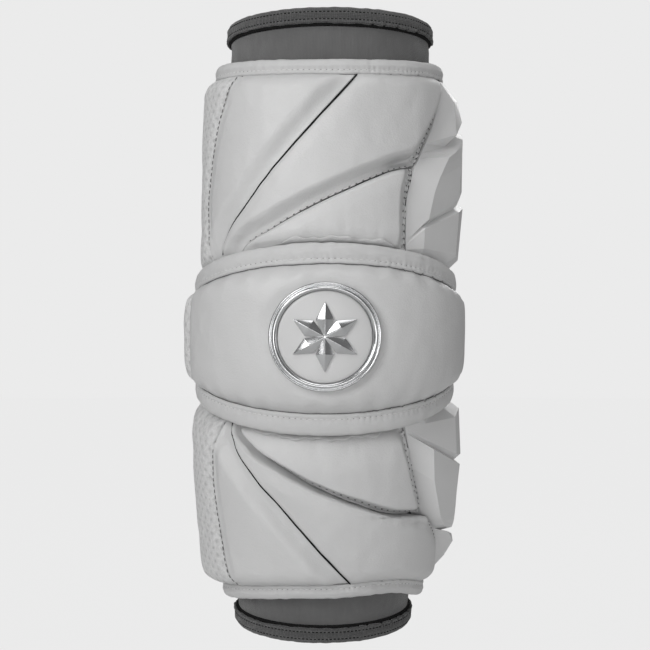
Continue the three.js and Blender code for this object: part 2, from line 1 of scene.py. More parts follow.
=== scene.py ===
"""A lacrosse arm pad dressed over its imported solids: padded panels of coated cloth, perforated gussets,
moulded side guards, bound edges, a knitted sleeve and a round medallion. Shapes are worked out in
millimetres on the arm's own lines and placed in metres."""
import json
import math
import bpy
import numpy as np
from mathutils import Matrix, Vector, noise
from mathutils.bvhtree import BVHTree

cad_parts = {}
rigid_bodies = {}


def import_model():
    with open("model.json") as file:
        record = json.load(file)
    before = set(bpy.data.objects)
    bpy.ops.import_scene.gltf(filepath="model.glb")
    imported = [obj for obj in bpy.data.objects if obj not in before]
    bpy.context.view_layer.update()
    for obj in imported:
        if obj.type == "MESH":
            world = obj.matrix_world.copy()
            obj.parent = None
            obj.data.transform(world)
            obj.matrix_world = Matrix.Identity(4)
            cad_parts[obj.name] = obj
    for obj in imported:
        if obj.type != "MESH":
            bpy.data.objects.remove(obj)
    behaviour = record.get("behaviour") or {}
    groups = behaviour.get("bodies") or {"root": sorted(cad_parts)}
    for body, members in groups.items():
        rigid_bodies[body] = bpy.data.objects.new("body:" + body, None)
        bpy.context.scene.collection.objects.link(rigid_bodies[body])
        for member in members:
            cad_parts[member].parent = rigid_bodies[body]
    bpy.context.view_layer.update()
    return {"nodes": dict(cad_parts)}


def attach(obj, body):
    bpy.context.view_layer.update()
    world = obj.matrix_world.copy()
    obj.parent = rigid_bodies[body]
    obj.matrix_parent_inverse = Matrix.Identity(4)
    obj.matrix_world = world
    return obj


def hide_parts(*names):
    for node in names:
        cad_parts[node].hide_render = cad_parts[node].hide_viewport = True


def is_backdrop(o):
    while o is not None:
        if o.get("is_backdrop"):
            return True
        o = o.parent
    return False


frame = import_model()

# The arm's line, the sleeve and the edges of the pads, as in the solids
REACH_UP, REACH_DOWN = 163.5, 165.5
BEND_UP, BEND_DOWN, BEND_LENGTH = 4, 9, 60
LEAN_UP, LEAN_DOWN = math.sin(math.radians(1)), math.sin(math.radians(0.4))
HALF_WIDTH, HALF_DEPTH, SLEEVE_WALL = 54, 46, 1.6
CUFF_HEIGHT, CUFF_WALL, CUFF_LIFT, CUFF_FLARE, CUFF_ROW = 9, 1.6, 1.9, 0.9, 2.1
CLEARANCE, SEAM_GAP = 0.3, 0.55
FOAM, FOAM_UNDERSIDE, GUARD_UNDERSIDE = 15, 0.8, 2.2
EDGE_LOW, EDGE_HIGH = 2.1, 6.1
TAPE_WALL, TAPE_HEIGHT = 1.3, 8.3
GUARD_FOAM, GUARD_SEAM, GUARD_RIDGE, BACK_SEAM = 22, 8.5, 124, 140
BAND_CENTRE, BAND_HALF, BAND_TOP_TAPER, BAND_BOTTOM_TAPER = -5, 44.3, 14, 11
BAND_CROWN, BAND_EDGE, BAND_TAPE, BAND_TUCK = 7.3, 3.5, 10, 9
BAND_LEFT, BAND_RIGHT, BAND_DEGREE = -73, 112, 1.15
# The space between two layers at the band and the tapes
LAYER = 0.5
# The band's front is flatter than its sides, so a degree is longer there
MEDALLION, RING_INSIDE, FRONT_STRETCH = 27.4, 23.2, 1.06
TAPE_ROW, TAPE_STRAY = 2.3, 0.35
# Radii in millimetres that turns are measured at, for the tapes, the pads and the cloth coordinates
ROUND_TAPE, ROUND_PAD, ROUND_CLOTH = 64, 66, 60
# A pad's length between its seams' ends, and from the elbow to its end
PAD_RUN, PAD_REACH = 90.2, 134.5
PUFF_FRAMES, BACKDROP = 14, 0.8308
SEAM_STEPS, SEAM_MEET = 15, 9

SECTIONS = {
    "reach": (-1, -0.85, -0.5, 0, 0.6, 1),
    "width": (0.86, 0.885, 0.965, 1, 1.01, 1),
    "depth": (0.85, 0.88, 0.96, 1, 1.01, 1),
}
FOAM_ROUND = {
    "turn": (-220, -180, -150, -120, -90, -45, 0, 45, 90, 120, 150, 180),
    "upper": (0.45, 0.4, 0.45, 0.75, 0.93, 0.95, 0.93, 0.93, 0.9, 0.8, 0.5, 0.4),
    "lower": (0.45, 0.4, 0.5, 1, 1.27, 1.12, 1, 1, 0.9, 0.8, 0.5, 0.4),
    "band": (0.1, 0, 0.1, 0.7, 0.8, 0.95, 1, 0.95, 0.74, 0.6, 0.1, 0),
}
# Each seam's points: step, how far along the pad, and turn round the arm
SEAMS = {
    "upper_left": (
        (0, -1, -67), (1, 0, -66.5), (5, 0.3, -68), (9, 0.57, -63.5), (12, 0.79, -56.2), (15, 1, -48),
    ),
    "upper_first": (
        (0, -1, -62), (1, 0, -58), (5, 0.25, -39.8), (9, 0.5, -21.5), (12, 0.75, -4), (15, 1, 13),
    ),
    "upper_second": (
        (0, -1, -54), (1, 0, -44.5), (3, 0.1, -25.2), (5, 0.245, 0), (7, 0.387, 23), (8, 0.448, 35),
        (9, 0.485, 46.8),
    ),
    "upper_right": (
        (0, -1, 41.3), (1, 0, 41.1), (2, 0.008, 41.1), (3, 0.018, 41), (4, 0.032, 40.9), (5, 0.055, 40.8),
        (6, 0.25, 40.4), (8, 0.42, 44.2), (9, 0.485, 46.8), (12, 0.63, 54.8), (14, 0.87, 69), (15, 1, 73),
    ),
    "lower_left": (
        (0, -1, -58), (1, 0, -57), (5, 0.27, -58.5), (9, 0.55, -55.8), (12, 0.78, -54), (15, 1, -49.5),
    ),
    "lower_first": (
        (0, -1, -54), (1, 0, -52), (3, 0.12, -46), (5, 0.26, -35.5), (9, 0.52, -17.2), (12, 0.77, -1.6),
        (15, 1, 14),
    ),
    "lower_second": (
        (0, -1, -51), (1, 0, -49), (3, 0.13, -36), (4, 0.22, -21), (5, 0.325, -6.5), (7, 0.475, 19),
        (8, 0.562, 36), (9, 0.6, 61.5),
    ),
    "lower_right": (
        (0, -1, 42.5), (1, 0, 42.6), (2, 0.008, 42.8), (3, 0.018, 43.1), (4, 0.032, 43.4), (5, 0.055, 43.9),
        (6, 0.28, 48.8), (8, 0.53, 57.2), (9, 0.6, 61.5), (12, 0.7, 72), (14, 0.88, 86), (15, 1, 90),
    ),
}
# The guards' facets: step, crest, ridge, top, ridge_lift, top_lift
FACETS = {
    "upper": (
        (0, -1, 52, 98, 0.6, 0.7), (1, 0, 51.5, 98, 0.6, 0.8), (2, 0.09, 51, 98, 0.6, 0.86),
        (3, 0.365, 50, 98, 0.58, 0.96), (4, 0.38, 49.5, 98, 0.46, 0.8), (5, 0.45, 51.5, 98, 0.64, 0.93),
        (7, 0.6, 58, 98, 0.7, 0.91), (9, 0.71, 65, 98, 0.76, 0.91), (10, 0.75, 73, 98, 0.78, 0.9),
        (11, 0.765, 72, 98, 0.52, 0.64), (12, 0.84, 73, 99, 0.8, 0.86), (14, 0.92, 77, 100, 0.68, 0.74),
        (15, 1, 79, 101, 0.37, 0.4),
    ),
    "lower": (
        (0, -1, 56, 98, 0.5, 0.8), (1, 0, 56.5, 98, 0.5, 0.9), (2, 0.09, 57, 98, 0.52, 0.99),
        (3, 0.34, 57, 98, 0.56, 1.09), (4, 0.37, 57.5, 98, 0.5, 0.93), (5, 0.4, 57, 99, 0.74, 1.1),
        (6, 0.54, 57.5, 100, 0.78, 1.06), (8, 0.69, 64, 102, 0.82, 1.03), (10, 0.735, 73, 103, 0.82, 0.99),
        (11, 0.76, 77, 104, 0.52, 0.66), (12, 0.785, 84, 105, 0.86, 1.06), (13, 0.84, 92, 107, 1.02, 1.12),
        (14, 0.91, 97, 110, 0.88, 0.96), (15, 1, 101, 112, 0.37, 0.4),
    ),
}
PADS = {
    "upper": {"outwards": 1, "scoop": 21, "end": 134.5, "rise": 6.4, "dent": 0},
    "lower": {"outwards": -1, "scoop": 26, "end": 138.5, "rise": 12, "dent": 3.4},
}
# How deep the cloth is drawn in where three panels meet, and how far below the band's underside a panel
# goes beneath it and how far out it has risen again
HOLLOW = {"upper": 6, "lower": 2.4}
UNDER_BAND = {"upper": (0.3, 9), "lower": (3, 19)}


def through(xs, ys, x):
    """A smooth value through points that never swings past them."""
    xs, ys = np.asarray(xs, float), np.asarray(ys, float)
    x = np.clip(x, xs[0], xs[-1])
    span = np.diff(xs)
    rise = np.diff(ys) / span
    slope = np.zeros(len(xs))
    slope[0], slope[-1] = rise[0], rise[-1]
    same = rise[:-1] * rise[1:] > 0
    total = np.where(same, rise[:-1] + rise[1:], 1)
    slope[1:-1] = np.where(same, 2 * rise[:-1] * rise[1:] / total, 0)
    i = np.clip(np.searchsorted(xs, x) - 1, 0, len(xs) - 2)
    t = (x - xs[i]) / span[i]
    bow = t * (1 - t) * ((1 - t) * slope[i] - t * slope[i + 1]) * span[i]
    return ys[i] + (ys[i + 1] - ys[i]) * t * t * (3 - 2 * t) + bow


def mix(start, end, share):
    return start + (end - start) * share


def ease(t):
    t = np.clip(t, 0, 1)
    return t * t * (3 - 2 * t)


def round_off(t):
    """A quarter round: steep at 0 and level at 1."""
    t = np.clip(t, 0, 1)
    return np.sqrt(np.maximum(0, 1 - (1 - t) ** 2))


def wrap(turn):
    return (np.asarray(turn, float) + 180) % 360 - 180


def round_to_back(turn):
    return 1 - np.cos(np.radians(turn))


def place(turn, height, lift):
    """Points in metres at a turn round the arm, a height along it and a lift off the sleeve."""
    turn, height, lift = np.broadcast_arrays(*(np.asarray(v, float) for v in (turn, height, lift)))
    bend = np.radians(np.where(height > 0, BEND_UP, BEND_DOWN))
    bent = np.minimum(np.abs(height), BEND_LENGTH)
    straight = np.abs(height) - bent
    angle = bend * bent / BEND_LENGTH
    radius = BEND_LENGTH / bend
    side = np.sign(height)
    back = radius * (1 - np.cos(angle)) + straight * np.sin(angle)
    up = radius * np.sin(angle) + straight * np.cos(angle)
    share = height / np.where(height > 0, REACH_UP, REACH_DOWN)
    width = HALF_WIDTH * through(SECTIONS["reach"], SECTIONS["width"], share)
    depth = HALF_DEPTH * through(SECTIONS["reach"], SECTIONS["depth"], share)
    across = (width + lift) * np.sin(np.radians(turn))
    forward = (depth + lift) * np.cos(np.radians(turn))
    x = height * np.where(height > 0, LEAN_UP, LEAN_DOWN) + across
    y = back - forward * np.cos(angle)
    z = side * up + forward * np.sin(side * angle)
    return np.stack([x, y, z], -1) / 1000


def foam_round(name, turn):
    return through(FOAM_ROUND["turn"], FOAM_ROUND[name], turn)


def band_top(turn):
    return BAND_CENTRE + BAND_HALF - BAND_TOP_TAPER * round_to_back(turn)


def band_bottom(turn):
    return BAND_CENTRE - BAND_HALF + BAND_BOTTOM_TAPER * round_to_back(turn)


def hidden_end(pad, turn):
    return 1 + PADS[pad]["scoop"] * round_to_back(turn)


def pad_start(pad, turn):
    edge = band_top(turn) if pad == "upper" else -band_bottom(turn)
    return np.maximum(edge + 3 * CLEARANCE, hidden_end(pad, turn) + 1.5)


def pad_end(pad, turn):
    r, half_right = round_to_back(turn), (wrap(turn) > 0) & (wrap(turn) < 90)
    dent = PADS[pad]["dent"] * np.where(half_right, np.sin(np.radians(2 * np.asarray(turn))) ** 2, 0)
    return PADS[pad]["end"] + PADS[pad]["rise"] * r * (1.5 - 0.5 * r) - dent


def pad_away(pad, turn, along):
    start = pad_start(pad, turn)
    end = pad_end(pad, turn) - TAPE_HEIGHT - 2 * CLEARANCE
    return np.where(along < 0, mix(start, hidden_end(pad, turn), -along), mix(start, end, along))


def tuck(turn):
    return BAND_TUCK * (1 - ease((np.abs(wrap(turn)) - 108) / 72))


def seam(name):
    steps, alongs, turns = zip(*SEAMS[name])
    return lambda step: (through(steps, turns, step), through(steps, alongs, step))


def middle_right(pad):
    second, right = seam(pad + "_second"), seam(pad + "_right")

    def line(step):
        early = np.asarray(step) < SEAM_MEET
        return tuple(np.where(early, a, b) for a, b in zip(second(step), right(step)))

    return line


def back_seam(turn):
    def line(step):
        step = np.asarray(step, float)
        return np.full_like(step, turn), np.where(step < 1, step - 1, (step - 1) / (SEAM_STEPS - 1))

    return line


def beside(line, step, side):
    """A seam's points moved half the seam's gap to one side."""
    step = np.asarray(step, float)
    turn, along = line(step)
    (turn_on, along_on), (turn_off, along_off) = line(step + 0.5), line(step - 0.5)
    across = np.radians(turn_on - turn_off) * HALF_WIDTH
    rise = (along_on - along_off) * PAD_RUN
    gap = side * SEAM_GAP / 2 / np.maximum(np.hypot(across, rise), 1e-6)
    return turn + np.degrees(gap * rise / HALF_WIDTH), along - gap * across / PAD_REACH


# Shader finishes


class Wire:
    """A shader socket that adds Math nodes where it is used in an expression."""

    def __init__(self, finish, socket):
        self.finish, self.socket = finish, socket

    def math(self, operation, *values):
        return self.finish.node("ShaderNodeMath", {"operation": operation}, dict(enumerate(values)))

    def __add__(self, other):
        return self.math("ADD", self, other)

    def __sub__(self, other):
        return self.math("SUBTRACT", self, other)

    def __rsub__(self, other):
        return self.math("SUBTRACT", other, self)

    def __mul__(self, other):
        return self.math("MULTIPLY", self, other)

    __radd__ = __add__

    def __truediv__(self, other):
        return self.math("DIVIDE", self, other)

    def below(self, level, soft):
        """One below the level and zero above it, with a soft step."""
        sockets = {
            "Value": self, "From Min": level - soft, "From Max": level + soft, "To Min": 1.0, "To Max": 0.0,
        }
        return self.finish.node("ShaderNodeMapRange", {"interpolation_type": "SMOOTHSTEP"}, sockets)


class Finish:
    """A material whose nodes are made by one method."""

    def __init__(self, name, **fixed):
        self.material = bpy.data.materials.new(name)
        self.material.use_nodes = True
        self.tree = self.material.node_tree
        self.shader = next(n for n in self.tree.nodes if n.type == "BSDF_PRINCIPLED")
        for socket, value in fixed.items():
            self.shader.inputs[socket.replace("_", " ")].default_value = value

    def node(self, kind, settings=None, sockets=None, out=0):
        made = self.tree.nodes.new(kind)
        for key, value in (settings or {}).items():
            if key == "stops":
                for i, (position, colour) in enumerate(value):
                    ramp = made.color_ramp.elements
                    stop = ramp[i] if i < len(ramp) else ramp.new(position)
                    stop.position, stop.color = position, colour
            else:
                setattr(made, key, value)
        for key, value in (sockets or {}).items():
            if isinstance(value, Wire):
                self.tree.links.new(value.socket, made.inputs[key])
            else:
                made.inputs[key].default_value = value
        return Wire(self, made.outputs[out])

    def feed(self, socket, wire):
        self.tree.links.new(wire.socket, self.shader.inputs[socket])

    def where(self):
        return self.node("ShaderNodeTexCoord", out="Object")

    def on_cloth(self):
        return self.node("ShaderNodeUVMap", {"uv_map": "cloth"})

    def split(self, vector):
        parts = self.node("ShaderNodeSeparateXYZ", {}, {0: vector})
        node = parts.socket.node
        return [Wire(self, node.outputs[i]) for i in range(3)]

    def stretched(self, vector, scale):
        return self.node("ShaderNodeVectorMath", {"operation": "MULTIPLY"}, {0: vector, 1: scale})

    def noise(self, vector, scale, detail=2.0, roughness=0.5):
        sockets = {"Vector": vector, "Scale": scale, "Detail": detail, "Roughness": roughness}
        return self.node("ShaderNodeTexNoise", {}, sockets)

    def cells(self, vector, scale):
        return self.node("ShaderNodeTexVoronoi", {}, {"Vector": vector, "Scale": scale})

    def bumps(self, *layers):
        """Bump nodes one on the other, each a height wire and a distance in metres."""
        normal = None
        for height, distance in layers:
            sockets = {"Height": height, "Distance": distance, "Strength": 1.0}
            if normal is not None:
                sockets["Normal"] = normal
            normal = self.node("ShaderNodeBump", {}, sockets)
        self.feed("Normal", normal)

    def shades(self, share, dark, light):
        """A grey between two tones by a share."""
        stops = [(0.0, (*dark, 1)), (1.0, (*light, 1))]
        self.feed("Base Color", self.node("ShaderNodeValToRGB", {"stops": stops}, {0: share}))


def grey(tone, warm=0.0):
    return (tone * (1 + warm), tone, tone * (1 - warm))


def coated_cloth():
    f = Finish("coated_cloth", Roughness=0.42, Specular_IOR_Level=0.5, Coat_Weight=0.06, Coat_Roughness=0.3)
    at = f.where()
    broad = f.noise(at, 22, 2)
    pores = f.cells(at, 1150)
    grain = f.noise(at, 2600, 3, 0.6)
    drape = f.noise(at, 120, 3, 0.55)
    f.shades(broad * 0.5 + grain * 0.35 + drape * 0.15, grey(0.5), grey(0.6))
    f.feed("Roughness", 0.38 + grain * 0.12 + broad * 0.05)
    f.bumps((drape, 0.00035), (pores, 0.00007), (grain, 0.00004))
    return f.material


def binding_tape():
    gloss = {"Roughness": 0.55, "Specular_IOR_Level": 0.4, "Sheen_Weight": 0.15, "Sheen_Roughness": 0.4}
    f = Finish("binding_tape", **gloss)
    along, across = f.split(f.on_cloth())[:2]
    weft = (along * (2 * math.pi / 0.9)).math("SINE", along * (2 * math.pi / 0.9))
    warp = (across * (2 * math.pi / 0.7)).math("SINE", across * (2 * math.pi / 0.7))
    weave = weft * warp
    at = f.where()
    broad = f.noise(at, 40, 3, 0.6)
    creases = f.noise(at, 260, 3, 0.6)
    f.shades(broad * 0.6 + weave * 0.12 + creases * 0.3, grey(0.5), grey(0.6))
    f.feed("Roughness", 0.5 + creases * 0.12)
    f.bumps((creases, 0.00035), (weave, 0.00006))
    return f.material


def perforated_cloth():
    """Cloth with punched holes in staggered rows, on a fine spacer knit."""
    gloss = {"Roughness": 0.8, "Specular_IOR_Level": 0.25, "Sheen_Weight": 0.25, "Sheen_Roughness": 0.5}
    f = Finish("perforated_cloth", **gloss)
    along, up = f.split(f.on_cloth())[:2]
    nearest = None
    for shift_along, shift_up in ((0.0, 0.0), (2.9, 3.85)):
        x = (along + shift_along).math("WRAP", along + shift_along, 2.9, -2.9)
        y = (up + shift_up).math("WRAP", up + shift_up, 3.85, -3.85)
        away = (x * x + y * y).math("SQRT", x * x + y * y)
        nearest = away if nearest is None else nearest.math("MINIMUM", nearest, away)
    hole = nearest.below(0.7, 0.3)
    dish = nearest.below(1.35, 0.7)
    at = f.where()
    knit = f.cells(at, 900)
    mottle = f.noise(at, 650, 4, 0.7)
    # The holes and the dimples round them are made darker: painted shade in the holes and dimples
    tone = 0.4 + mottle * 0.8 + knit * 0.12 - hole * 0.14 - dish * 0.12
    f.shades(tone, grey(0.2), grey(0.66))
    f.feed("Roughness", 0.72 + mottle * 0.15)
    f.bumps((1 - dish, 0.00018), (1 - hole, 0.00012), (knit, 0.00012), (mottle, 0.0006))
    return f.material


def knit():
    """Stretch knit: columns of small V stitches."""
    f = Finish("knit", Roughness=0.85, Specular_IOR_Level=0.2, Sheen_Weight=0.35, Sheen_Roughness=0.45)
    along, up = f.split(f.on_cloth())[:2]
    wale = (along / 0.85).math("FRACT", along / 0.85) - 0.5
    slant = wale.math("ABSOLUTE", wale)
    course = (up / 0.7 + slant * 1.2).math("FRACT", up / 0.7 + slant * 1.2)
    loop = (course - 0.5).math("ABSOLUTE", course - 0.5)
    rib = 0.5 - slant
    at = f.where()
    broad = f.noise(at, 30, 3, 0.6)
    pull = f.noise(f.stretched(at, (1, 1, 0.25)), 320, 3, 0.6)
    f.shades(broad * 0.45 + pull * 0.3 + rib * 0.3 + loop * 0.25, grey(0.075), grey(0.165))
    f.feed("Roughness", 0.78 + broad * 0.12)
    f.bumps((rib, 0.00022), (loop, 0.00014), (pull, 0.00025))
    return f.material


def elastic():
    """Ribbed elastic tape."""
    f = Finish("elastic", Roughness=0.85, Specular_IOR_Level=0.2, Sheen_Weight=0.3, Sheen_Roughness=0.45)
    along, across = f.split(f.on_cloth())[:2]
    rib = (along * (2 * math.pi / 1.1)).math("SINE", along * (2 * math.pi / 1.1))
    row = (across * (2 * math.pi / 0.8)).math("SINE", across * (2 * math.pi / 0.8))
    at = f.where()
    fuzz = f.noise(at, 700, 4, 0.7)
    f.shades(fuzz * 0.7 + rib * 0.12 + row * 0.08, grey(0.05), grey(0.135))
    f.feed("Roughness", 0.75 + fuzz * 0.2)
    f.bumps((rib, 0.00012), (row, 0.0001), (fuzz, 0.0002))
    return f.material


def moulded_foam():
    f = Finish("moulded_foam", Roughness=0.36, Specular_IOR_Level=0.5, Coat_Weight=0.1, Coat_Roughness=0.25)
    at = f.where()
    broad = f.noise(at, 25, 2)
    skin = f.noise(at, 1800, 3, 0.6)
    flow = f.noise(at, 90, 2, 0.5)
    f.shades(broad * 0.6 + skin * 0.25 + flow * 0.15, grey(0.56), grey(0.67))
    f.feed("Roughness", 0.33 + skin * 0.1 + flow * 0.05)
    f.bumps((flow, 0.0002), (skin, 0.00004))
    return f.material


def satin_chrome():
    f = Finish("satin_chrome", Metallic=1.0, Roughness=0.2)
    at = f.where()
    brushed = f.noise(f.stretched(at, (1, 1, 6)), 900, 3, 0.6)
    haze = f.noise(at, 120, 2)
    f.shades(brushed * 0.4 + haze * 0.6, grey(0.48, -0.01), grey(0.64, -0.01))
    f.feed("Roughness", 0.12 + brushed * 0.08 + haze * 0.04)
    f.bumps((brushed, 0.00001),)
    return f.material


def medallion_face():
    f = Finish("medallion_face", Roughness=0.4, Specular_IOR_Level=0.5, Coat_Weight=0.15, Coat_Roughness=0.2)
    at = f.where()
    speck = f.noise(at, 2200, 3, 0.6)
    broad = f.noise(at, 60, 2)
    f.shades(speck * 0.4 + broad * 0.6, grey(0.52), grey(0.59))
    f.feed("Roughness", 0.36 + speck * 0.1)
    f.bumps((speck, 0.00004),)
    return f.material


def thread(name, dark, light, shine=0.4):
    gloss = {"Roughness": 0.6, "Specular_IOR_Level": shine, "Sheen_Weight": shine / 2, "Sheen_Roughness": 0.4}
    f = Finish(name, **gloss)
    at = f.where()
    twist = f.noise(at, 3500, 2)
    f.shades(twist, grey(dark), grey(light))
    f.feed("Roughness", 0.5 + twist * 0.2)
    f.bumps((twist, 0.00008),)
    return f.material


LOOKS = {
    "coated_cloth": coated_cloth(),
    "binding_tape": binding_tape(),
    "perforated_cloth": perforated_cloth(),
    "knit": knit(),
    "elastic": elastic(),
    "moulded_foam": moulded_foam(),
    "satin_chrome": satin_chrome(),
    "medallion_face": medallion_face(),
    "pale_thread": thread("pale_thread", 0.55, 0.72),
    # Painted shade: dark beads at needle holes and along the tapes' open edges, and the dark dashes along the
    # left seam
    "shade_dashes": thread("shade_dashes", 0.08, 0.16),
    # Painted shade, lighter, in the needle holes of the tapes' stitch rows
    "soft_hole_shade": thread("soft_hole_shade", 0.2, 0.3),
    # Near black: real dark thread in the cuffs' stitch rows, and painted shadow in the seams and along the
    # cuffs' free edges
    "black_thread_and_shadow": thread("black_thread_and_shadow", 0.006, 0.014, 0.05),
}


# Making meshes


def make(name, points, faces, corners, look, nodes=()):
    """A mesh piece with outward faces. corners are the faces' UVs in millimetres of cloth."""
    points, faces, corners = np.asarray(points), np.asarray(faces), np.asarray(corners)
    a, b, c, d = (points[faces[:, k]] for k in range(4))
    volume = np.einsum("ij,ij->", a, np.cross(b, c)) + np.einsum("ij,ij->", a, np.cross(c, d))
    if volume < 0:
        faces, corners = faces[:, ::-1], corners[:, ::-1]
    mesh = bpy.data.meshes.new(name)
    mesh.from_pydata(points.tolist(), [], faces.tolist())
    layer = mesh.uv_layers.new(name="cloth")
    layer.data.foreach_set("uv", np.ascontiguousarray(corners, np.float32).ravel())
    mesh.polygons.foreach_set("use_smooth", [True] * len(faces))
    piece = bpy.data.objects.new(name, mesh)
    bpy.context.scene.collection.objects.link(piece)
    return dress(piece, look, nodes)


def dress(piece, look, nodes=()):
    piece.data.materials.clear()
    piece.data.materials.append(LOOKS[look])
    if nodes:
        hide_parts(*nodes)
    return piece


def cell(grid):
    """The four corners of each square of a grid."""
    return np.stack([grid[:-1, :-1], grid[:-1, 1:], grid[1:, 1:], grid[1:, :-1]], 2)


def slab(name, outer, inner, uv, look, nodes=(), ring=False):
    """A closed shell between an outer and an inner grid of points."""
    rows, columns = outer.shape[:2]
    count = rows * columns
    index = np.arange(count).reshape(rows, columns)
    if ring:
        index = np.concatenate([index, index[:, :1]], 1)
    top = cell(index).reshape(-1, 4)
    top_uv = cell(uv).reshape(-1, 4, 2)
    rims = [(index[0], uv[0]), (index[-1, ::-1], uv[-1, ::-1])]
    if not ring:
        rims += [(index[:, -1], uv[:, -1]), (index[::-1, 0], uv[::-1, 0])]
    faces, corners = [top, top[:, ::-1] + count], [top_uv, top_uv[:, ::-1]]
    for rim, at in rims:
        faces.append(np.stack([rim[1:], rim[:-1], rim[:-1] + count, rim[1:] + count], 1))
        corners.append(np.stack([at[1:], at[:-1], at[:-1], at[1:]], 1))
    points = np.concatenate([outer.reshape(-1, 3), inner.reshape(-1, 3)])
    return make(name, points, np.concatenate(faces), np.concatenate(corners), look, nodes)


def hoop(name, points, uv, look, nodes=()):
    """A closed ring whose profile is a closed loop. uv has one more step and one more point."""
    steps, loop = points.shape[:2]
    index = np.arange(steps * loop).reshape(steps, loop)
    index = np.concatenate([index, index[:1]], 0)
    index = np.concatenate([index, index[:, :1]], 1)
    faces, corners = cell(index).reshape(-1, 4), cell(uv).reshape(-1, 4, 2)
    return make(name, points.reshape(-1, 3), faces, corners, look, nodes)


def coords(piece):
    points = np.empty(len(piece.data.vertices) * 3, np.float32)
    piece.data.vertices.foreach_get("co", points)
    return points.reshape(-1, 3).astype(float)


def set_coords(piece, points):
    piece.data.vertices.foreach_set("co", np.ascontiguousarray(points, np.float32).ravel())
    piece.data.update()


def normals(piece):
    found = np.empty(len(piece.data.vertices) * 3, np.float32)
    piece.data.vertex_normals.foreach_get("vector", found)
    return found.reshape(-1, 3).astype(float)


def only(piece):
    bpy.ops.object.select_all(action="DESELECT")
    piece.select_set(True)
    bpy.context.view_layer.objects.active = piece


def finish_with(piece, kind, **settings):
    """Adds a modifier and applies it."""
    only(piece)
    modifier = piece.modifiers.new(kind.lower(), kind)
    for key, value in settings.items():
        setattr(modifier, key, value)
    bpy.ops.object.modifier_apply(modifier=modifier.name)


def finer(piece):
    finish_with(piece, "SUBSURF", levels=1, render_levels=1)
    piece.data.polygons.foreach_set("use_smooth", [True] * len(piece.data.polygons))


def mend(piece, *steps):
    """Runs mesh operators on the whole of a piece."""
    only(piece)
    bpy.ops.object.mode_set(mode="EDIT")
    bpy.ops.mesh.select_all(action="SELECT")
    for operator, settings in steps:
        operator(**settings)
    bpy.ops.object.mode_set(mode="OBJECT")


def swayed(turns, pull, seed):
    """A smooth random height round the arm, the same at both ends of the turn."""
    a = np.radians(turns)
    return np.array([noise.noise(Vector((math.sin(t) * pull, math.cos(t) * pull, seed))) for t in a])


def puff(piece, held, pressure, cap):
    """Blows the cloth up a little between its held places, by at most cap metres."""
    scene = bpy.context.scene
    group = piece.vertex_groups.new(name="held")
    for i, weight in enumerate(held):
        group.add([i], float(weight), "REPLACE")
    rest = coords(piece)
    cloth = piece.modifiers.new("puff", "CLOTH")
    settings = cloth.settings
    settings.quality = 4
    settings.mass = 0.2
    settings.tension_stiffness = settings.compression_stiffness = 18
    settings.shear_stiffness = 8
    settings.bending_stiffness = 0.6
    settings.use_pressure = True
    settings.uniform_pressure_force = pressure
    settings.effector_weights.gravity = 0
    settings.vertex_group_mass = "held"
    settings.pin_stiffness = 2
    cloth.collision_settings.use_collision = False
    cloth.point_cache.frame_start, cloth.point_cache.frame_end = 1, PUFF_FRAMES
    for number in range(1, PUFF_FRAMES + 1):
        scene.frame_set(number)
    shown = piece.evaluated_get(bpy.context.evaluated_depsgraph_get())
    puffed = np.empty(len(rest) * 3, np.float32)
    shown.data.vertices.foreach_get("co", puffed)
    piece.modifiers.remove(cloth)
    piece.vertex_groups.clear()
    scene.frame_set(1)
    moved = puffed.reshape(-1, 3) - rest
    far = np.linalg.norm(moved, axis=1, keepdims=True)
    set_coords(piece, rest + moved * np.minimum(1, cap / np.maximum(far, 1e-9)))


def apart(points, line):
    """How far each point is from a line of points, in millimetres, and how far along it the nearest is."""
    start, way = line[:-1], np.diff(line, axis=0)
    size = np.linalg.norm(way, axis=1)
    run = np.concatenate([[0], np.cumsum(size)])[:-1]
    best, at = np.full(len(points), 1e9), np.zeros(len(points))
    for chunk in np.array_split(np.arange(len(points)), max(1, len(points) // 4000)):
        delta = points[chunk, None] - start[None]
        t = np.clip(np.einsum("pki,ki->pk", delta, way) / np.maximum(size**2, 1e-12), 0, 1)
        far = np.linalg.norm(delta - t[..., None] * way[None], axis=2)
        k = far.argmin(1)
        rows = np.arange(len(chunk))
        best[chunk] = far[rows, k]
        at[chunk] = run[k] + t[rows, k] * size[k]
    return best * 1000, at * 1000


def rumple(points, scale, seed):
    """A slow random height at each point, about -1 to 1."""
    return np.array([noise.noise(Vector(p) * scale + Vector((seed, seed * 2, seed * 3))) for p in points])


# The sleeve and its cuffs


def arc_uv(turns, heights):
    """Cloth coordinates in millimetres from turns and heights."""
    along, up = np.broadcast_arrays(np.radians(turns) * ROUND_CLOTH, heights)
    return np.stack([along, up], -1)


def make_sleeve():
    turns = np.linspace(-180, 180, 241)
    stop = CUFF_WALL + CLEARANCE
    heights = np.linspace(stop - REACH_DOWN, REACH_UP - stop, 150)[:, None]
    drag = np.zeros((len(heights), len(turns) - 1))
    for j, h in enumerate(heights[:, 0]):
        for i, turn in enumerate(turns[:-1]):
            side = 1 if h > 0 else -1
            bare = ease((abs(h) - 128) / 8) * ease((REACH_UP - CUFF_HEIGHT - 1 - abs(h)) / 5)
            if bare <= 0:
                continue
            sin, cos = math.sin(math.radians(turn)), math.cos(math.radians(turn))
            fold = noise.noise(Vector((sin * 2.2 + h * 0.05, cos * 2.2, side * 4 + h * 0.022)))
            fine = noise.noise(Vector((sin * 7 - h * 0.07, cos * 7, side * 9 + h * 0.05)))
            drag[j, i] = bare * (1.1 * abs(fold) ** 0.8 * (1 if fold > 0 else -1) + 0.35 * fine)
    outer = place(turns[:-1], heights, drag)
    inner = place(turns[:-1], heights, drag - SLEEVE_WALL)
    return slab("sleeve_knit", outer, inner, arc_uv(turns, heights), "knit", ["sleeve"], ring=True)


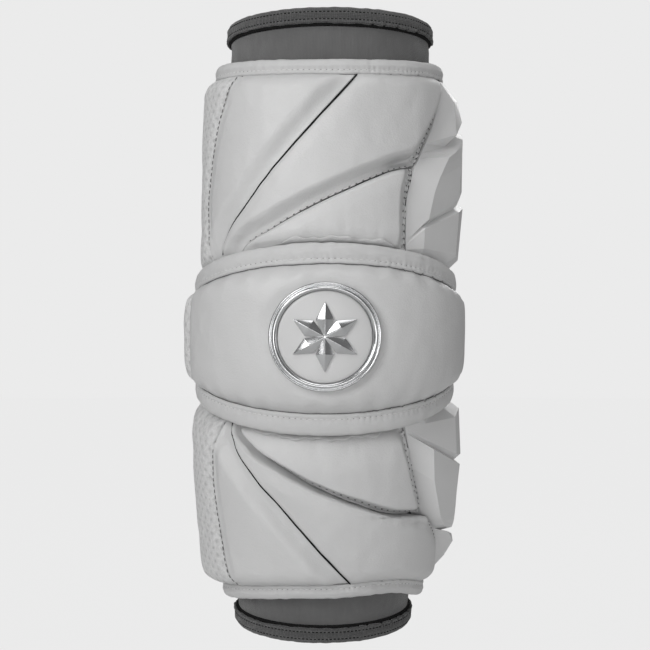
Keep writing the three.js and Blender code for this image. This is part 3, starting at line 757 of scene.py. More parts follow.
def folded_profile(depth, low, high, slot_low, slot_high, wall, groove_at, groove=0.35, crown=0.25):
    """A folded tape's closed profile: how far in from the fold, and the lift, each a row of points."""
    big, small = min(2.8, (high - low) * 0.45), min(1.6, (high - low) * 0.3)
    body = np.linspace(depth - groove_at - 1.3, big, 5)
    rows = [(depth, high - 0.75), (depth - 0.12, high - 0.3), (depth - 0.5, high)]
    rows += [(depth - groove_at + 1.1, high + 0.08), (depth - groove_at + 0.45, high - groove * 0.55)]
    rows += [(depth - groove_at, high - groove), (depth - groove_at - 0.45, high - groove * 0.55)]
    rows += [(o, high + crown * math.sin(math.pi * k / 4) + 0.02) for k, o in enumerate(body)]
    for k in range(1, 5):
        angle = math.pi / 2 * k / 4
        rows.append((big * (1 - math.sin(angle)), high - big * (1 - math.cos(angle))))
    for k in range(0, 4):
        angle = math.pi / 2 * k / 3
        rows.append((small * (1 - math.cos(angle)), low + small * (1 - math.sin(angle))))
    rows += [(depth, low), (depth, slot_low), (wall, slot_low), (wall, slot_high), (depth, slot_high)]
    return np.array(rows)


def drift(turns, seed):
    """How a tape strays round the arm, slowly and quickly, and the notches along its open edge."""
    slow, quick = swayed(turns, 3.1, seed), swayed(turns, 13, seed + 5)
    beat = np.maximum(0, np.cos(np.radians(turns) * ROUND_TAPE * 2 * math.pi / 9 + 5 * slow)) ** 10
    return slow, quick, beat * ease((turns - 5) / 45) * ease((125 - turns) / 30)


def tape(name, fold, inward, profile, base, pitch, seed, look, nodes, wander=TAPE_STRAY):
    """A tape folded round an edge all round the arm. base is the lift that the profile starts from."""
    turns = np.linspace(-180, 180, 561)
    ring = turns[:-1]
    slow, quick, notch = drift(ring, seed)
    wave = np.cos(np.radians(ring) * round(2 * math.pi * ROUND_TAPE / pitch))
    depth = profile[0, 0]
    open_share = np.clip(profile[:, 0] / depth, 0, 1)[None]
    outside = (profile[:, 1] > profile[-1, 1])[None]
    heights = fold(ring)[:, None] + inward * profile[None, :, 0]
    heights = heights + inward * wander * (slow * 0.8 + quick * 0.6)[:, None] * open_share**3
    heights = heights - inward * 2.4 * wander * notch[:, None] * open_share**4
    heights = heights - inward * (0.35 * quick + 0.25 * slow)[:, None] * (1 - open_share) ** 3
    lift = base(ring)[:, None] + profile[None, :, 1]
    near_row = np.exp(-(((profile[:, 0] - depth + TAPE_ROW) / 1.6) ** 2))[None]
    lift = lift + outside * (0.3 * quick[:, None] + 0.2 * wave[:, None] * near_row + 0.2 * slow[:, None])
    points = place(ring[:, None], heights, lift)
    run = np.concatenate([[0], np.cumsum(np.linalg.norm(np.diff(profile, axis=0), axis=1))])
    run = np.concatenate([run, [run[-1] + 1.5]])
    uv = np.stack(np.broadcast_arrays(np.radians(turns)[:, None] * ROUND_TAPE, run[None]), -1)
    return hoop(name, points, uv, look, nodes)


def cuff(name, end, inward, node):
    """A folded elastic cuff that stands off the knit at its free edge, with a near black ring along that edge
    as painted shadow beneath it.
    """
    slot_low = -CUFF_WALL - CLEARANCE
    profile = folded_profile(
        CUFF_HEIGHT, slot_low - CUFF_WALL, CUFF_LIFT, slot_low, CLEARANCE, CUFF_WALL, CUFF_ROW, 0.25, 0.35
    )
    outer = profile[:, 1] > CLEARANCE - 0.01
    profile[outer, 1] += CUFF_FLARE * (profile[outer, 0] / CUFF_HEIGHT) ** 2
    fold = lambda turn: np.full_like(turn, end)
    piece = tape(name, fold, inward, profile, np.zeros_like, 1.9, 31 + inward, "elastic", [node], wander=0.8)
    # A near black ring along the free edge: painted shadow of the gap under the cuff
    edge = end + inward * (CUFF_HEIGHT - 0.4)
    turns = np.linspace(-180, 180, 721)
    ring = turns[:-1]
    bead = 0.35 * np.abs(np.sin(np.arange(720) * math.pi / 4))
    offsets = np.array([(0, 0.1), (0, 1.0), (0.5, 1.1), (1.1, 0.9), (1.6, 0.5), (1.6, 0.1)])
    heights = edge + inward * offsets[None, :, 0] * (1 + 0.25 * bead[:, None])
    lifts = offsets[None, :, 1] + bead[:, None] * (offsets[None, :, 1] > 0.4)
    uv = np.stack(np.broadcast_arrays(np.radians(turns)[:, None] * ROUND_CLOTH, np.arange(7)[None] * 0.8), -1)
    hoop(name + "_overlock", place(ring[:, None], heights, lifts), uv, "black_thread_and_shadow")
    return piece


# Stitches


def bead(length, width, height):
    """A short thread: closed, pointed at both ends, lying along x."""
    around = 6
    xs = (-0.5, -0.3, 0.3, 0.5)
    fat = (0.25, 0.95, 0.95, 0.25)
    points = []
    for x, f in zip(xs, fat):
        for k in range(around):
            a = 2 * math.pi * k / around
            points.append((x * length, math.cos(a) * width / 2 * f, math.sin(a) * height / 2 * f))
    faces = []
    for m in range(len(xs) - 1):
        for k in range(around):
            n = (k + 1) % around
            faces.append((m * around + k, m * around + n, (m + 1) * around + n, (m + 1) * around + k))
    last = (len(xs) - 1) * around
    for cap, order in ((0, -1), (last, 1)):
        for quad in ((0, 1, 2, 3), (0, 3, 4, 5)):
            faces.append(tuple(cap + v for v in quad[::order]))
    return np.array(points), faces


def lay(name, spots, ways, ups, size, look):
    """Copies of a short thread at spots, along ways, standing up along ups, as one piece."""
    shape, faces = bead(*size)
    points, all_faces = [], []
    for spot, way, up in zip(spots, ways, ups):
        side = np.cross(up, way)
        side /= max(np.linalg.norm(side), 1e-9)
        up = np.cross(way, side)
        start = len(points) * len(shape)
        points.append(spot + shape @ np.stack([way, side, up]))
        all_faces += [tuple(start + v for v in f) for f in faces]
    corners = np.zeros((len(all_faces), 4, 2))
    return make(name, np.concatenate(points), all_faces, corners, look)


def spread_out(line, pitch, shift=0.0):
    """Places every pitch metres along a line of points, and the way it runs there."""
    size = np.linalg.norm(np.diff(line, axis=0), axis=1)
    run = np.concatenate([[0], np.cumsum(size)])
    count = max(1, int(run[-1] / pitch))
    at = (np.arange(count) + 0.5 + shift) * run[-1] / count
    spot = np.stack([np.interp(at, run, line[:, k]) for k in range(3)], 1)
    ahead = np.stack([np.interp(at + 0.0008, run, line[:, k]) for k in range(3)], 1)
    behind = np.stack([np.interp(at - 0.0008, run, line[:, k]) for k in range(3)], 1)
    way = ahead - behind
    return spot, way / np.maximum(np.linalg.norm(way, axis=1, keepdims=True), 1e-9)


def stitch(
    name, line, outward, pitch, size, hole, threads="pale_thread", holes="shade_dashes"
):
    """A stitch row along a line: threads, and between them dark beads sunk into the cloth, painted shade for
    the needle holes. outward gives the way up.
    """
    spots, ways = spread_out(line, pitch)
    lay(name, spots, ways, outward(spots), [s / 1000 for s in size], threads)
    if hole:
        spots, ways = spread_out(line, pitch, 0.5)
        ups = outward(spots)
        lay(name + "_holes", spots - ups * 0.00005, ways, ups, [s / 1000 for s in hole], holes)


def from_axis(spots):
    """The way out from the arm's line at each spot."""
    up = spots.copy()
    up[:, 2] = 0
    up[:, 0] *= (HALF_DEPTH / HALF_WIDTH) ** 2
    return up / np.linalg.norm(up, axis=1, keepdims=True)


def surface_line(piece, turns, heights, off=0.0, misses=False):
    """Points on a piece's outside over places on the arm. With misses, a place that is bare gives nan."""
    tree = BVHTree.FromPolygons(
        [tuple(p) for p in coords(piece)], [tuple(p.vertices) for p in piece.data.polygons]
    )
    far, near = place(turns, heights, 40.0), place(turns, heights, -2.0)
    found = []
    for a, b in zip(far, near):
        way = Vector(b - a)
        hit = tree.ray_cast(Vector(a), way.normalized(), way.length)
        if hit[0] is not None:
            found.append(np.array(hit[0]) - np.array(way.normalized()) * off)
        elif misses:
            found.append(np.full(3, np.nan))
    return np.array(found)


# Padded panels


def crisp(valley, radius=2.6, run=9.0):
    """An edge that rises steeply from the seam: a share of the foam by the distance from it."""
    return lambda d: valley + (1 - valley) * (0.72 * round_off(d / radius) + 0.28 * ease(d / run))


def sloped(valley, flange, run):
    """An edge that lies flat beside the seam and then rises."""
    return lambda d: valley + (1 - valley) * ease((d - flange) / run) + 0.012 * ease(1 - d / 1.5)


def panel(pad, part, left, right, steps, edges, spacing=2.1, look="coated_cloth", creases=0.3):
    """A padded panel between two seams, from its hidden edge at the elbow to the bound edge."""
    outwards = PADS[pad]["outwards"]
    (turn_a, along_a), (turn_b, along_b) = beside(left, steps, 1), beside(right, steps, -1)
    widest = np.max(np.radians(turn_b - turn_a)) * ROUND_PAD
    inside = np.linspace(0, 1, max(6, int(widest / spacing)) + 1)[1:-1]
    rim = 0.6 / widest
    across = np.concatenate([[0, rim], inside, [1 - rim, 1]])[None]
    turn = mix(turn_a[:, None], turn_b[:, None], across)
    along = mix(along_a[:, None], along_b[:, None], across)
    away = pad_away(pad, turn, along)
    bound = steps[-1] >= SEAM_STEPS
    base = FOAM * foam_round(pad, turn)
    at = place(turn, outwards * away, base * 0.85)
    lines = [place(t, outwards * pad_away(pad, t, a), FOAM * foam_round(pad, t) * 0.85)
             for t, a in ((turn_a, along_a), (turn_b, along_b))]
    flat = at.reshape(-1, 3)
    to_left, to_right = (apart(flat, line)[0].reshape(turn.shape) for line in lines)
    share = edges[0](to_left) * edges[1](to_right)
    if not bound:
        share = share * mix(0.86, 1, ease((steps[-1] - steps[:, None]) / 1.2))
    slow = rumple(flat, 38, 3 + len(part)).reshape(turn.shape)
    free = base * share + 0.5 * slow
    if part == "panel_middle":
        meet_turn, meet_along = seam(f"{pad}_right")(SEAM_MEET)
        meet = place(meet_turn - 7, outwards * pad_away(pad, meet_turn - 7, meet_along), FOAM * 0.8)
        near = np.exp(-((np.linalg.norm(flat - meet, axis=1).reshape(turn.shape) / 0.0105) ** 2))
        free = free - HOLLOW[pad] * near * np.exp(-(((to_right - 3.4) / 2.8) ** 2))
    to_mouth = pad_end(pad, turn) - TAPE_HEIGHT - away
    to_band = away - pad_start(pad, turn)
    high = mix(EDGE_HIGH + 0.7, free, round_off(to_mouth / 9)) if bound else free
    deep, run = UNDER_BAND[pad]
    high = mix(np.minimum(high, BAND_TUCK - deep), high, round_off(to_band / run))
    low = np.full_like(high, FOAM_UNDERSIDE)
    edge_distance = np.minimum.reduce([to_left, to_right, np.where(along < 0, 0, to_band)])
    if bound:
        edge_distance = np.minimum(edge_distance, to_mouth)
        for inset in (TAPE_HEIGHT + CLEARANCE, TAPE_WALL + CLEARANCE):
            turn = np.concatenate([turn, turn[-1:]])
            away = np.concatenate([away, pad_end(pad, turn[-1:]) - inset])
            high = np.concatenate([high, np.full_like(turn[-1:], EDGE_HIGH)])
            low = np.concatenate([low, np.full_like(turn[-1:], EDGE_LOW)])
            edge_distance = np.concatenate([edge_distance, np.zeros_like(turn[-1:])])
    high = np.maximum(high, low + SLEEVE_WALL)
    outer, inner = place(turn, outwards * away, high), place(turn, outwards * away, low)
    name = f"{pad}_{part}"
    uv = arc_uv(turn, away)
    piece = slab(f"{name}_padded", outer, inner, uv, look, [name])
    held = np.clip(1 - (edge_distance - 3) / 9, 0, 1).ravel()
    puff(piece, np.concatenate([held, np.ones(len(held))]), 1.6, 0.0012)
    finer(piece)
    points, ups = coords(piece), normals(piece)
    fine = rumple(points * np.array([1, 1, 0.6]), 150, 11 + len(part))
    turns = np.degrees(np.arctan2(points[:, 0] / HALF_WIDTH, -points[:, 1] / HALF_DEPTH))
    from_band = np.maximum(0, np.abs(points[:, 2]) * 1000 - pad_start(pad, turns))
    gather = 0.55 * np.exp(-((from_band / 13) ** 2)) * rumple(points * np.array([1, 1, 0.1]), 210, 5)
    drawn = np.full(len(points), 99.0)
    sewn = {"panel_outer": lines[:1], "panel_middle": lines[1:], "panel_inner": lines[1:]}
    for line in sewn.get(part, ()):
        drawn = np.minimum(drawn, apart(points, line)[0])
    gather = gather + 0.4 * np.exp(-((drawn / 4.2) ** 2)) * rumple(points, 520, 8)
    set_coords(piece, points + ups * ((creases * fine + gather) / 1000)[:, None])
    return piece


def pinch(piece, line, depth, width, pitch, pucker):
    """Draws the cloth down along a stitch line, with a pucker at each stitch."""
    points, ups = coords(piece), normals(piece)
    far, at = apart(points, line)
    close = far < width * 3
    dip = -depth * np.exp(-((far / width) ** 2))
    irregular = 0.7 + 0.5 * np.sin(at * 0.9) * np.sin(at * 0.37 + 1)
    wave = pucker * irregular * np.cos(2 * math.pi * at / pitch) * np.exp(-((far / (width * 1.6)) ** 2))
    moved = np.where(close, dip + wave, 0) / 1000
    set_coords(piece, points + ups * moved[:, None])


def seam_line(pad, line, shift, steps):
    """Turns and heights along a seam, shifted in millimetres to its right."""
    turn, along = line(steps)
    (turn_on, along_on), (turn_off, along_off) = line(steps + 0.3), line(steps - 0.3)
    height = pad_away(pad, turn, along)
    up = pad_away(pad, turn_on, along_on) - pad_away(pad, turn_off, along_off)
    over = np.radians(turn_on - turn_off) * ROUND_PAD
    size = np.maximum(np.hypot(up, over), 1e-6)
    turn = turn + np.degrees(shift * up / size / ROUND_PAD)
    return turn, PADS[pad]["outwards"] * (height - shift * over / size)


def shadow_along_seam(
    pad, name, piece, line, shift, steps, drop=0.3, size=(3.4, 0.8, 0.6), pitch=2.2, look="black_thread_and_shadow"
):
    """A dark line of beads along a seam, painted seam shadow, as far down as drop beneath the cloth of the
    piece beside it.
    """
    turns, heights = seam_line(pad, line, shift, steps)
    drawn = surface_line(piece, turns, heights, misses=True)
    lifts = np.linalg.norm(drawn - place(turns, heights, 0.0), axis=1)
    seen = ~np.isnan(lifts)
    lifts = np.interp(np.arange(len(lifts)), np.flatnonzero(seen), lifts[seen]) * 1000
    lifts = np.convolve(np.pad(lifts, 3, mode="edge"), np.ones(7) / 7, mode="valid")
    spots = place(*seam_line(pad, line, 0, steps), lifts - drop)
    stitch(f"{pad}_{name}_cord", spots, from_axis, pitch / 1000, size, None, look)


def make_pad(pad):
    left, first, second, right = (seam(f"{pad}_{side}") for side in ("left", "first", "second", "right"))
    visible = np.concatenate([[0, 0.5], np.arange(1, SEAM_STEPS + 0.01, 0.25)])
    short = np.concatenate([[0, 0.5], np.arange(1, SEAM_MEET - 0.1, 0.2)])
    lower = pad == "lower"
    outer = panel(pad, "panel_outer", left, first, visible,
                  (sloped(0.94, 1.6, 4.5), sloped(0.72, 2.4, 9)))
    middle = panel(pad, "panel_middle", first, middle_right(pad), visible,
                   (crisp(0.68), crisp(0.74, 1.6) if lower else sloped(0.6, 2, 7)))
    inner = panel(pad, "panel_inner", second, right, short,
                  (sloped(0.38, 0.3, 4.6) if lower else crisp(0.62), sloped(0.66, 3, 5)))
    around = back_seam(BACK_SEAM - 360)
    panel(pad, "gusset", around, left, visible, (sloped(0.85, 1, 4), sloped(0.9, 1, 4)),
          spacing=2.6, look="perforated_cloth", creases=0.5)
    on_second, second_side, second_from = (inner, 2.3, 3.2) if lower else (middle, -0.7, 1.3)
    at_second = np.arange(second_from, SEAM_MEET - 0.3, 0.12)
    at_inner = np.arange(1.4, SEAM_MEET - 0.5, 0.12)
    at_middle = np.arange(SEAM_MEET + 0.3, SEAM_STEPS, 0.12)
    whole = np.arange(1.2, SEAM_STEPS, 0.12)
    rows = [
        (on_second, "second", second, second_side, at_second, 4.0, (2.5, 0.5, 0.4), (1.1, 0.85, 0.35), 0.35),
    ]
    for kind, *sewn in (
        ("right", -2.7 if lower else -1.9, (2.1, 0.6, 0.5), (0.9, 0.85, 0.35), 0.6),
        ("edge", -0.8, (2, 0.5, 0.4), (0.8, 0.7, 0.35), 0.25),
    ):
        for piece, name, steps in ((inner, "inner", at_inner), (middle, "middle", at_middle)):
            rows.append((piece, f"{name}_{kind}", right, sewn[0], steps, 3.4, *sewn[1:]))
    for piece, name, line, shift, steps, pitch, size, hole, pucker in rows:
        turns, heights = seam_line(pad, line, shift, steps)
        drawn = surface_line(piece, turns, heights)
        pinch(piece, drawn, 0.5, 1.1, pitch, pucker)
        drawn = surface_line(piece, turns, heights, 0.0001)
        stitch(f"{pad}_{name}_stitches", drawn, from_axis, pitch / 1000, size, hole)
    # Painted seam shadow: dark lines in the first and the right seams. The last row is dark dashes along the
    # left seam.
    shadow_along_seam(pad, "first", middle, first, 0.7, whole)
    shadow_along_seam(pad, "inner_right", inner, right, -0.6, at_inner, 0.45, (3.4, 0.6, 0.6))
    shadow_along_seam(pad, "middle_right", middle, right, -0.6, at_middle, 0.45, (3.4, 0.6, 0.6))
    shadow_along_seam(pad, "left", outer, left, 1.5, whole, -0.15, (2.1, 0.6, 0.5), 3.1, "shade_dashes")
    return inner


def hem_sliver(pad, piece, start, stop, reach):
    """A thin hem that shows between the band's edge and the panel beneath it."""
    turns = np.linspace(start, stop, 90)
    outwards = PADS[pad]["outwards"]
    edge = band_top(turns) if pad == "upper" else band_bottom(turns)
    ends = ease((turns - start) / 9) * ease((stop - turns) / 9)
    width = ends * (reach + 0.5 * np.sin(turns * 0.31) + 0.35 * np.sin(turns * 0.83))
    rows = [
        surface_line(piece, turns, edge + outwards * (0.5 + share * width)) for share in (0, 0.35, 0.7, 1)
    ]
    if any(len(row) != len(turns) for row in rows):
        return
    ways = from_axis(rows[0])
    outer = np.stack([row + ways * lift for row, lift in zip(rows, (0.0009, 0.0014, 0.0015, 0.0008))])
    inner = np.stack([row + ways * 0.0001 for row in rows])
    uv = arc_uv(turns[None], np.arange(4)[:, None])
    slab(f"{pad}_hem_sliver", outer, inner, uv, "binding_tape")


# The moulded side guards


def guard(pad):
    outwards = PADS[pad]["outwards"]
    steps = np.arange(0, SEAM_STEPS + 1, dtype=float)
    table = np.array(FACETS[pad])
    columns = (np.interp(steps, table[:, 0], table[:, k]) for k in range(1, 6))
    crest, ridge, top, ridge_lift, top_lift = columns
    front, front_along = beside(seam(f"{pad}_right"), steps, 1)
    back, back_along = beside(back_seam(BACK_SEAM), steps, -1)
    seam_lift = GUARD_SEAM / GUARD_FOAM
    columns = [
        (front, front_along, np.minimum(seam_lift, ridge_lift)),
        (ridge, mix(front_along, crest, 0.35), ridge_lift),
        (mix(ridge, top, 0.55), mix(front_along, crest, 0.8), mix(ridge_lift, top_lift, 0.7)),
        (top, crest, top_lift),
        (np.full_like(steps, GUARD_RIDGE), mix(back_along, crest, 0.6), mix(seam_lift, top_lift, 0.6)),
        (back, back_along, np.minimum(seam_lift, top_lift)),
    ]
    turn = np.stack([c[0] for c in columns], 1)
    along = np.stack([c[1] for c in columns], 1)
    high = np.stack([c[2] for c in columns], 1) * GUARD_FOAM
    away = pad_away(pad, turn, along)
    to_mouth = pad_end(pad, turn) - TAPE_HEIGHT - away
    to_band = away - pad_start(pad, turn)
    at_binding = mix(np.minimum(high, EDGE_HIGH + TAPE_WALL), high, 0.5)
    high = mix(at_binding, high, ease(to_mouth / 6))
    high = mix(np.minimum(high, BAND_TUCK), high, ease(to_band / 6))
    low = np.where(along > 0, GUARD_UNDERSIDE, 2 * GUARD_UNDERSIDE)
    even = mix(front[-1], back[-1], np.arange(6) / 5)[None]
    for inset in (TAPE_HEIGHT + CLEARANCE, TAPE_WALL + CLEARANCE):
        turn = np.concatenate([turn, even])
        away = np.concatenate([away, pad_end(pad, even) - inset])
        high = np.concatenate([high, np.full_like(even, EDGE_HIGH)])
        low = np.concatenate([low, np.full_like(even, EDGE_LOW)])
    high = np.maximum(high, low + SLEEVE_WALL)
    name = f"{pad}_side_guard"
    outer, inner = place(turn, outwards * away, high), place(turn, outwards * away, low)
    piece = slab(f"{name}_moulded", outer, inner, arc_uv(turn, away), "moulded_foam", [name])
    mend(
        piece,
        (bpy.ops.mesh.quads_convert_to_tris, {"quad_method": "SHORTEST_DIAGONAL"}),
        (bpy.ops.mesh.dissolve_limited, {"angle_limit": math.radians(4)}),
    )
    finish_with(piece, "BEVEL", width=0.0012, segments=3, limit_method="ANGLE", angle_limit=math.radians(14),
                profile=0.6, harden_normals=False)
    only(piece)
    bpy.ops.object.shade_smooth_by_angle(angle=math.radians(28))


# The band round the elbow


def band_edge_high(turn):
    return tuck(turn) + LAYER + TAPE_WALL + LAYER + BAND_EDGE


def band_lift(turn, share):
    crown = BAND_CROWN * foam_round("band", wrap(turn))
    edge = band_edge_high(turn) + LAYER + TAPE_WALL
    return edge + crown * np.maximum(0, 1 - np.abs(2 * share - 1) ** 6) ** 0.8


def medallion_point(radius, clock, off):
    """A point of the medallion by radius and clock angle, and how far it stands off the elbow pad."""
    stand = BAND_TUCK + BAND_CROWN
    stretch = lambda bend: 1 + math.radians(bend) * (HALF_DEPTH + stand) / BEND_LENGTH
    turn = np.degrees(radius * np.sin(np.radians(clock)) / ((HALF_WIDTH + stand) * FRONT_STRETCH))
    rise = BAND_CENTRE * stretch(BEND_DOWN) + radius * np.cos(np.radians(clock))
    height = rise / np.where(rise > 0, stretch(BEND_UP), stretch(BEND_DOWN))
    bottom, top = band_bottom(turn), band_top(turn)
    body = BAND_TAPE + 2 * CLEARANCE
    share = (height - bottom - body) / (top - bottom - 2 * body)
    return place(turn, height, band_lift(turn, share) + CLEARANCE + off)


def band_part(name, start, stop, look, creases):
    turn = np.linspace(start + 0.16, stop - 0.16, int((stop - start) * BAND_DEGREE / 2.1))[None]
    bottom, top = band_bottom(turn), band_top(turn)
    body = BAND_TAPE + 2 * CLEARANCE
    share = np.linspace(0, 1, 34)[:, None]
    height = mix(bottom + body, top - body, share)
    turn_grid = np.broadcast_to(turn, height.shape)
    to_mouth = np.minimum(height - bottom - BAND_TAPE, top - BAND_TAPE - height)
    flat = place(turn_grid, height, 15).reshape(-1, 3)
    slow = rumple(flat, 30, 21).reshape(height.shape)
    edge = band_edge_high(turn_grid) + LAYER
    swell = 1 + 0.05 * np.sin(np.radians(turn_grid * 31)) * np.exp(-((to_mouth / 5) ** 2))
    high = mix(edge, band_lift(turn_grid, share) * swell + 0.35 * slow, round_off(to_mouth / 4.5))
    low = np.broadcast_to(tuck(turn_grid) + LAYER, height.shape)
    from_side = np.minimum(turn_grid - start, stop - turn_grid) * BAND_DEGREE
    high = high - 2.4 * np.minimum(1, high / 9) * (1 - ease(from_side / 6)) * ease(to_mouth / 4)
    if look == "coated_cloth":
        centre = medallion_point(np.zeros(1), np.zeros(1), 0)
        ring = np.linalg.norm((flat - centre) * np.array([1, 0.35, 1]), axis=1).reshape(height.shape) * 1000
        high = high - 1.5 * (1 - ease((ring - MEDALLION + 0.5) / 5.5))
    held = np.clip(1 - (np.minimum(to_mouth, from_side) - 2) / 9, 0, 1)
    if look == "coated_cloth":
        held = np.maximum(held, 1 - ease((ring - MEDALLION - 6) / 4))
    ends = [(bottom + inset, top - inset) for inset in (TAPE_WALL + CLEARANCE, BAND_TAPE + CLEARANCE)]
    rim_high, rim_low = band_edge_high(turn), tuck(turn) + LAYER + TAPE_WALL + LAYER
    grow = lambda first, grid, last: np.concatenate([*first, grid, *last[::-1]])
    height = grow([e[0] for e in ends], height, [e[1] for e in ends])
    high = grow([rim_high] * 2, high, [rim_high] * 2)
    low = grow([rim_low] * 2, low, [rim_low] * 2)
    held = grow([np.ones_like(turn)] * 2, held, [np.ones_like(turn)] * 2)
    turn_grid = np.broadcast_to(turn, height.shape)
    outer, inner = place(turn_grid, height, high), place(turn_grid, height, low)
    piece = slab(f"{name}_padded", outer, inner, arc_uv(turn_grid, height), look, [name])
    puff(piece, np.concatenate([held.ravel(), np.ones(held.size)]), 1.5, 0.001)
    finer(piece)
    points, ups = coords(piece), normals(piece)
    fine = rumple(points * np.array([1, 1, 0.6]), 120, 17)
    set_coords(piece, points + ups * (creases * fine / 1000)[:, None])


def add_tape(name, fold, inward, depth, low, slot_low, slot_high, seed, node):
    """A light binding tape, its profile measured from its own lift, with a stitch row near its open edge and a
    dark row of painted shadow along that edge.
    """
    zero = np.zeros(1)
    base = low(zero)[0]
    outer_high = slot_high(zero)[0] + TAPE_WALL - base
    slot_from, slot_to = slot_low(zero)[0] - base, slot_high(zero)[0] - base
    profile = folded_profile(depth, 0, outer_high, slot_from, slot_to, TAPE_WALL, TAPE_ROW)
    tape(name + "_tape", fold, inward, profile, low, 3.0, seed, "binding_tape", [node])
    turns = np.linspace(-180, 180, 1441)
    slow, quick, notch = drift(turns, seed)
    stray = TAPE_STRAY * (slow * 0.8 + quick * 0.6)
    share = ((depth - TAPE_ROW) / depth) ** 3
    heights = fold(turns) + inward * (depth - TAPE_ROW + stray * share)
    lifts = low(turns) + outer_high - 0.3 + 0.3 * quick + 0.2 * slow
    line = place(turns, heights, lifts)
    stitch(name + "_stitches", line, from_axis, 0.003, (2.0, 0.5, 0.45), (0.6, 0.5, 0.25), holes="soft_hole_shade")
    # Dark dashes along the tape's open edge: painted shadow where the tape meets the cloth
    line = place(turns, fold(turns) + inward * (depth + 0.15 + stray - 0.84 * notch), lifts - 0.55)
    stitch(name + "_edge", line, from_axis, 0.0032, (4.3, 0.55, 0.5), None, "shade_dashes")


# The medallion


def turned(name, profile, steps, spread, look, node):
    """A hoop of the medallion from its profile of radii and lifts off the elbow pad."""
    clocks = np.arange(steps) * 360 / steps
    points = np.stack([medallion_point(np.full(steps, r), clocks, off) for r, off in profile], 1)
    across = np.arange(len(profile) + 1)[None]
    uv = np.stack(np.broadcast_arrays(np.arange(steps + 1)[:, None] * spread, across), -1)
    return hoop(name, points, uv, look, [node])


def make_medallion():
    """A satin chrome ring of two ridges, a pale disc, and a generic rosette."""
    profile = [
        (RING_INSIDE, -0.4), (RING_INSIDE, 1.7), (RING_INSIDE + 0.25, 2.3), (RING_INSIDE + 0.9, 2.95),
        (RING_INSIDE + 1.5, 3.1), (RING_INSIDE + 2.05, 2.75), (RING_INSIDE + 2.4, 2.1),
        (RING_INSIDE + 2.65, 1.75), (RING_INSIDE + 2.9, 2.05), (RING_INSIDE + 3.25, 2.5),
        (RING_INSIDE + 3.65, 2.5), (MEDALLION - 0.12, 1.9), (MEDALLION, 1.1), (MEDALLION + 0.05, -1.9),
        (RING_INSIDE + 1, -1.9),
    ]
    turned("medallion_ring_chrome", profile, 180, 0.9, "satin_chrome", "medallion_ring")
    dish = [(0.01, 1.25), (4, 1.25), (8, 1.25), (12, 1.25), (16, 1.25), (19, 1.25), (21.5, 1.22), (22.6, 1.1),
            (RING_INSIDE - 0.12, 0.8), (RING_INSIDE - 0.1, -0.6), (14, -0.6), (0.01, -0.6)]
    disc = turned("medallion_disc_face", dish, 96, 1.4, "medallion_face", "medallion_disc")
    mend(disc, (bpy.ops.mesh.remove_doubles, {"threshold": 0.00003}))
    rosette = bpy.data.objects.new("medallion_rosette_chrome", frame["nodes"]["medallion_rosette"].data.copy())
    bpy.context.scene.collection.objects.link(rosette)
    mend(
        rosette,
        (bpy.ops.mesh.remove_doubles, {"threshold": 0.00002}),
        (bpy.ops.mesh.dissolve_limited, {"angle_limit": math.radians(2)}),
    )
    points = coords(rosette)
    middle = medallion_point(np.zeros(1), np.zeros(1), 0)[0]
    set_coords(rosette, points + np.array([0, 0.0006, 0]) + (points - middle) * np.array([0.02, 0, 0.02]))
    finish_with(rosette, "BEVEL", width=0.00022, segments=2, limit_method="ANGLE",
                angle_limit=math.radians(12))
    only(rosette)
    bpy.ops.object.shade_smooth_by_angle(angle=math.radians(25))
    dress(rosette, "satin_chrome", ["medallion_rosette"])


# Everything together


def camera_and_lights():
    scene = bpy.context.scene
    lens = bpy.data.cameras.new("camera")
    lens.sensor_width = 36
    lens.lens = 18 / math.tan(math.radians(22.27 / 2))
    camera = bpy.data.objects.new("camera", lens)
    camera.location = (0, -0.9, 0)
    camera.rotation_euler = (math.pi / 2, 0, 0)
    scene.collection.objects.link(camera)
    scene.camera = camera
    scene.view_settings.view_transform = "Standard"
    lights = [
        ("key", (-0.85, -1.15, 0.65), 0.9, 11.4),
        ("front", (-0.05, -1.6, -0.35), 1.2, 12.6),
        ("top", (0.1, -0.5, 1.4), 1.0, 5.4),
        ("right", (1.3, -0.5, 0.1), 0.7, 1.1),
        ("back", (0.3, 1.5, 0.8), 1.2, 10.0),
    ]
    for name, spot, size, power in lights:
        light = bpy.data.lights.new(name, "AREA")
        light.shape, light.size, light.energy = "DISK", size, power
        lamp = bpy.data.objects.new(name, light)
        lamp.location = spot
        lamp.rotation_euler = (Vector((0, 0, 0)) - Vector(spot)).to_track_quat("-Z", "Y").to_euler()
        lamp.visible_camera = False
        scene.collection.objects.link(lamp)
    world = bpy.data.worlds.new("studio")
    scene.world = world
    world.use_nodes = True
    tree = world.node_tree
    background = tree.nodes["Background"]
    background.inputs["Color"].default_value = (0.2, 0.2, 0.2, 1)
    seen = tree.nodes.new("ShaderNodeBackground")
    seen.inputs["Color"].default_value = (BACKDROP, BACKDROP, BACKDROP, 1)
    path = tree.nodes.new("ShaderNodeLightPath")
    blend = tree.nodes.new("ShaderNodeMixShader")
    tree.links.new(path.outputs["Is Camera Ray"], blend.inputs[0])
    tree.links.new(background.outputs[0], blend.inputs[1])
    tree.links.new(seen.outputs[0], blend.inputs[2])
    tree.links.new(blend.outputs[0], tree.nodes["World Output"].inputs["Surface"])


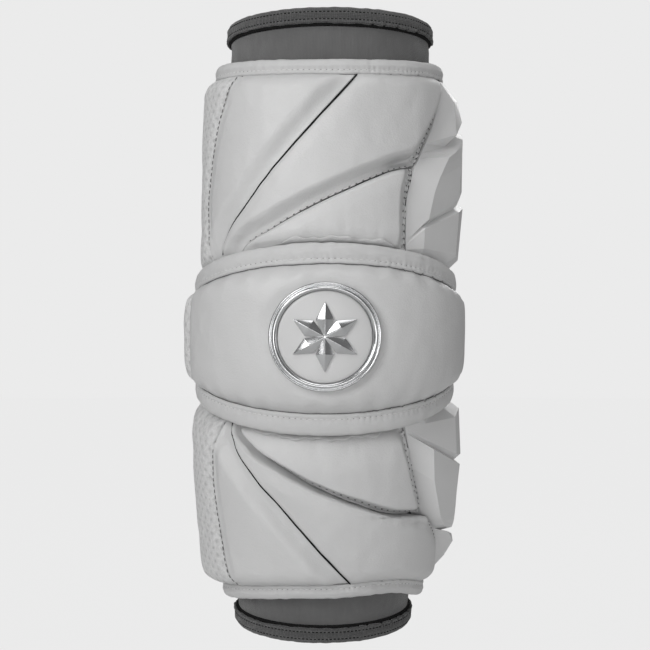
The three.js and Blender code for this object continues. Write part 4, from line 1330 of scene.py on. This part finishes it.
def make_floor():
    """A plain pale floor below the part, nearly one tone with the backdrop."""
    bpy.ops.mesh.primitive_circle_add(vertices=96, radius=6, fill_type="NGON", location=(0, 0, -0.3))
    floor = bpy.context.active_object
    floor.name = "floor"
    f = Finish("pale_floor", Roughness=0.9, Specular_IOR_Level=0.1)
    tree = f.tree
    glow = tree.nodes.new("ShaderNodeEmission")
    glow.inputs["Color"].default_value = (BACKDROP, BACKDROP, BACKDROP, 1)
    path = tree.nodes.new("ShaderNodeLightPath")
    share = tree.nodes.new("ShaderNodeMath")
    share.operation = "MULTIPLY"
    share.inputs[1].default_value = 0.99
    blend = tree.nodes.new("ShaderNodeMixShader")
    output = next(n for n in tree.nodes if n.type == "OUTPUT_MATERIAL")
    f.shades(f.noise(f.where(), 3, 2), grey(0.72), grey(0.76))
    tree.links.new(path.outputs["Is Camera Ray"], share.inputs[0])
    tree.links.new(share.outputs[0], blend.inputs[0])
    tree.links.new(f.shader.outputs[0], blend.inputs[1])
    tree.links.new(glow.outputs[0], blend.inputs[2])
    tree.links.new(blend.outputs[0], output.inputs["Surface"])
    floor.data.materials.append(f.material)
    floor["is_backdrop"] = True


camera_and_lights()
make_floor()
sleeve = make_sleeve()
cuff_upper = cuff("cuff_upper_elastic", REACH_UP, -1, "cuff_upper")
cuff_lower = cuff("cuff_lower_elastic", -REACH_DOWN, 1, "cuff_lower")
for name, end, inward in (("upper", REACH_UP, -1), ("lower", -REACH_DOWN, 1)):
    for row, inset, stand in (("hem", CUFF_HEIGHT - CUFF_ROW, -0.12), ("edge", 3.0, 0.3)):
        ring = np.linspace(-180, 180, 1441)
        rise = CUFF_LIFT + CUFF_FLARE * (inset / CUFF_HEIGHT) ** 2 + stand
        line = place(ring, np.full_like(ring, end + inward * inset), rise)
        stitch(f"cuff_{name}_{row}_stitches", line, from_axis, 0.0021, (1.4, 0.6, 0.5), (0.6, 0.5, 0.3),
               threads="black_thread_and_shadow")
for pad in ("upper", "lower"):
    inner_panel = make_pad(pad)
    hem_sliver(pad, inner_panel, *((-24, 36, 2.6) if pad == "upper" else (-40, 33, 2.2)))
    guard(pad)
    outwards = PADS[pad]["outwards"]
    add_tape(
        f"{pad}_binding",
        lambda turn, pad=pad, outwards=outwards: outwards * pad_end(pad, turn),
        -outwards,
        TAPE_HEIGHT,
        lambda turn: np.full_like(turn, CLEARANCE),
        lambda turn: np.full_like(turn, EDGE_LOW - LAYER),
        lambda turn: np.full_like(turn, EDGE_HIGH + LAYER),
        40 + outwards,
        f"{pad}_binding",
    )
band_part("elbow_pad", BAND_LEFT, BAND_RIGHT, "coated_cloth", 0.3)
band_part("elbow_gusset", BAND_RIGHT - 360, BAND_LEFT, "perforated_cloth", 0.45)
for name, fold, inward in (("upper", band_top, -1), ("lower", band_bottom, 1)):
    add_tape(
        f"elbow_binding_{name}",
        fold,
        inward,
        BAND_TAPE,
        lambda turn: tuck(turn) + LAYER,
        lambda turn: tuck(turn) + LAYER + TAPE_WALL,
        lambda turn: band_edge_high(turn) + LAYER,
        50 + inward,
        f"elbow_binding_{name}",
    )
make_medallion()

for piece in [o for o in bpy.context.scene.objects if o.type == "MESH" and o.parent is None]:
    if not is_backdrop(piece):
        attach(piece, "root")
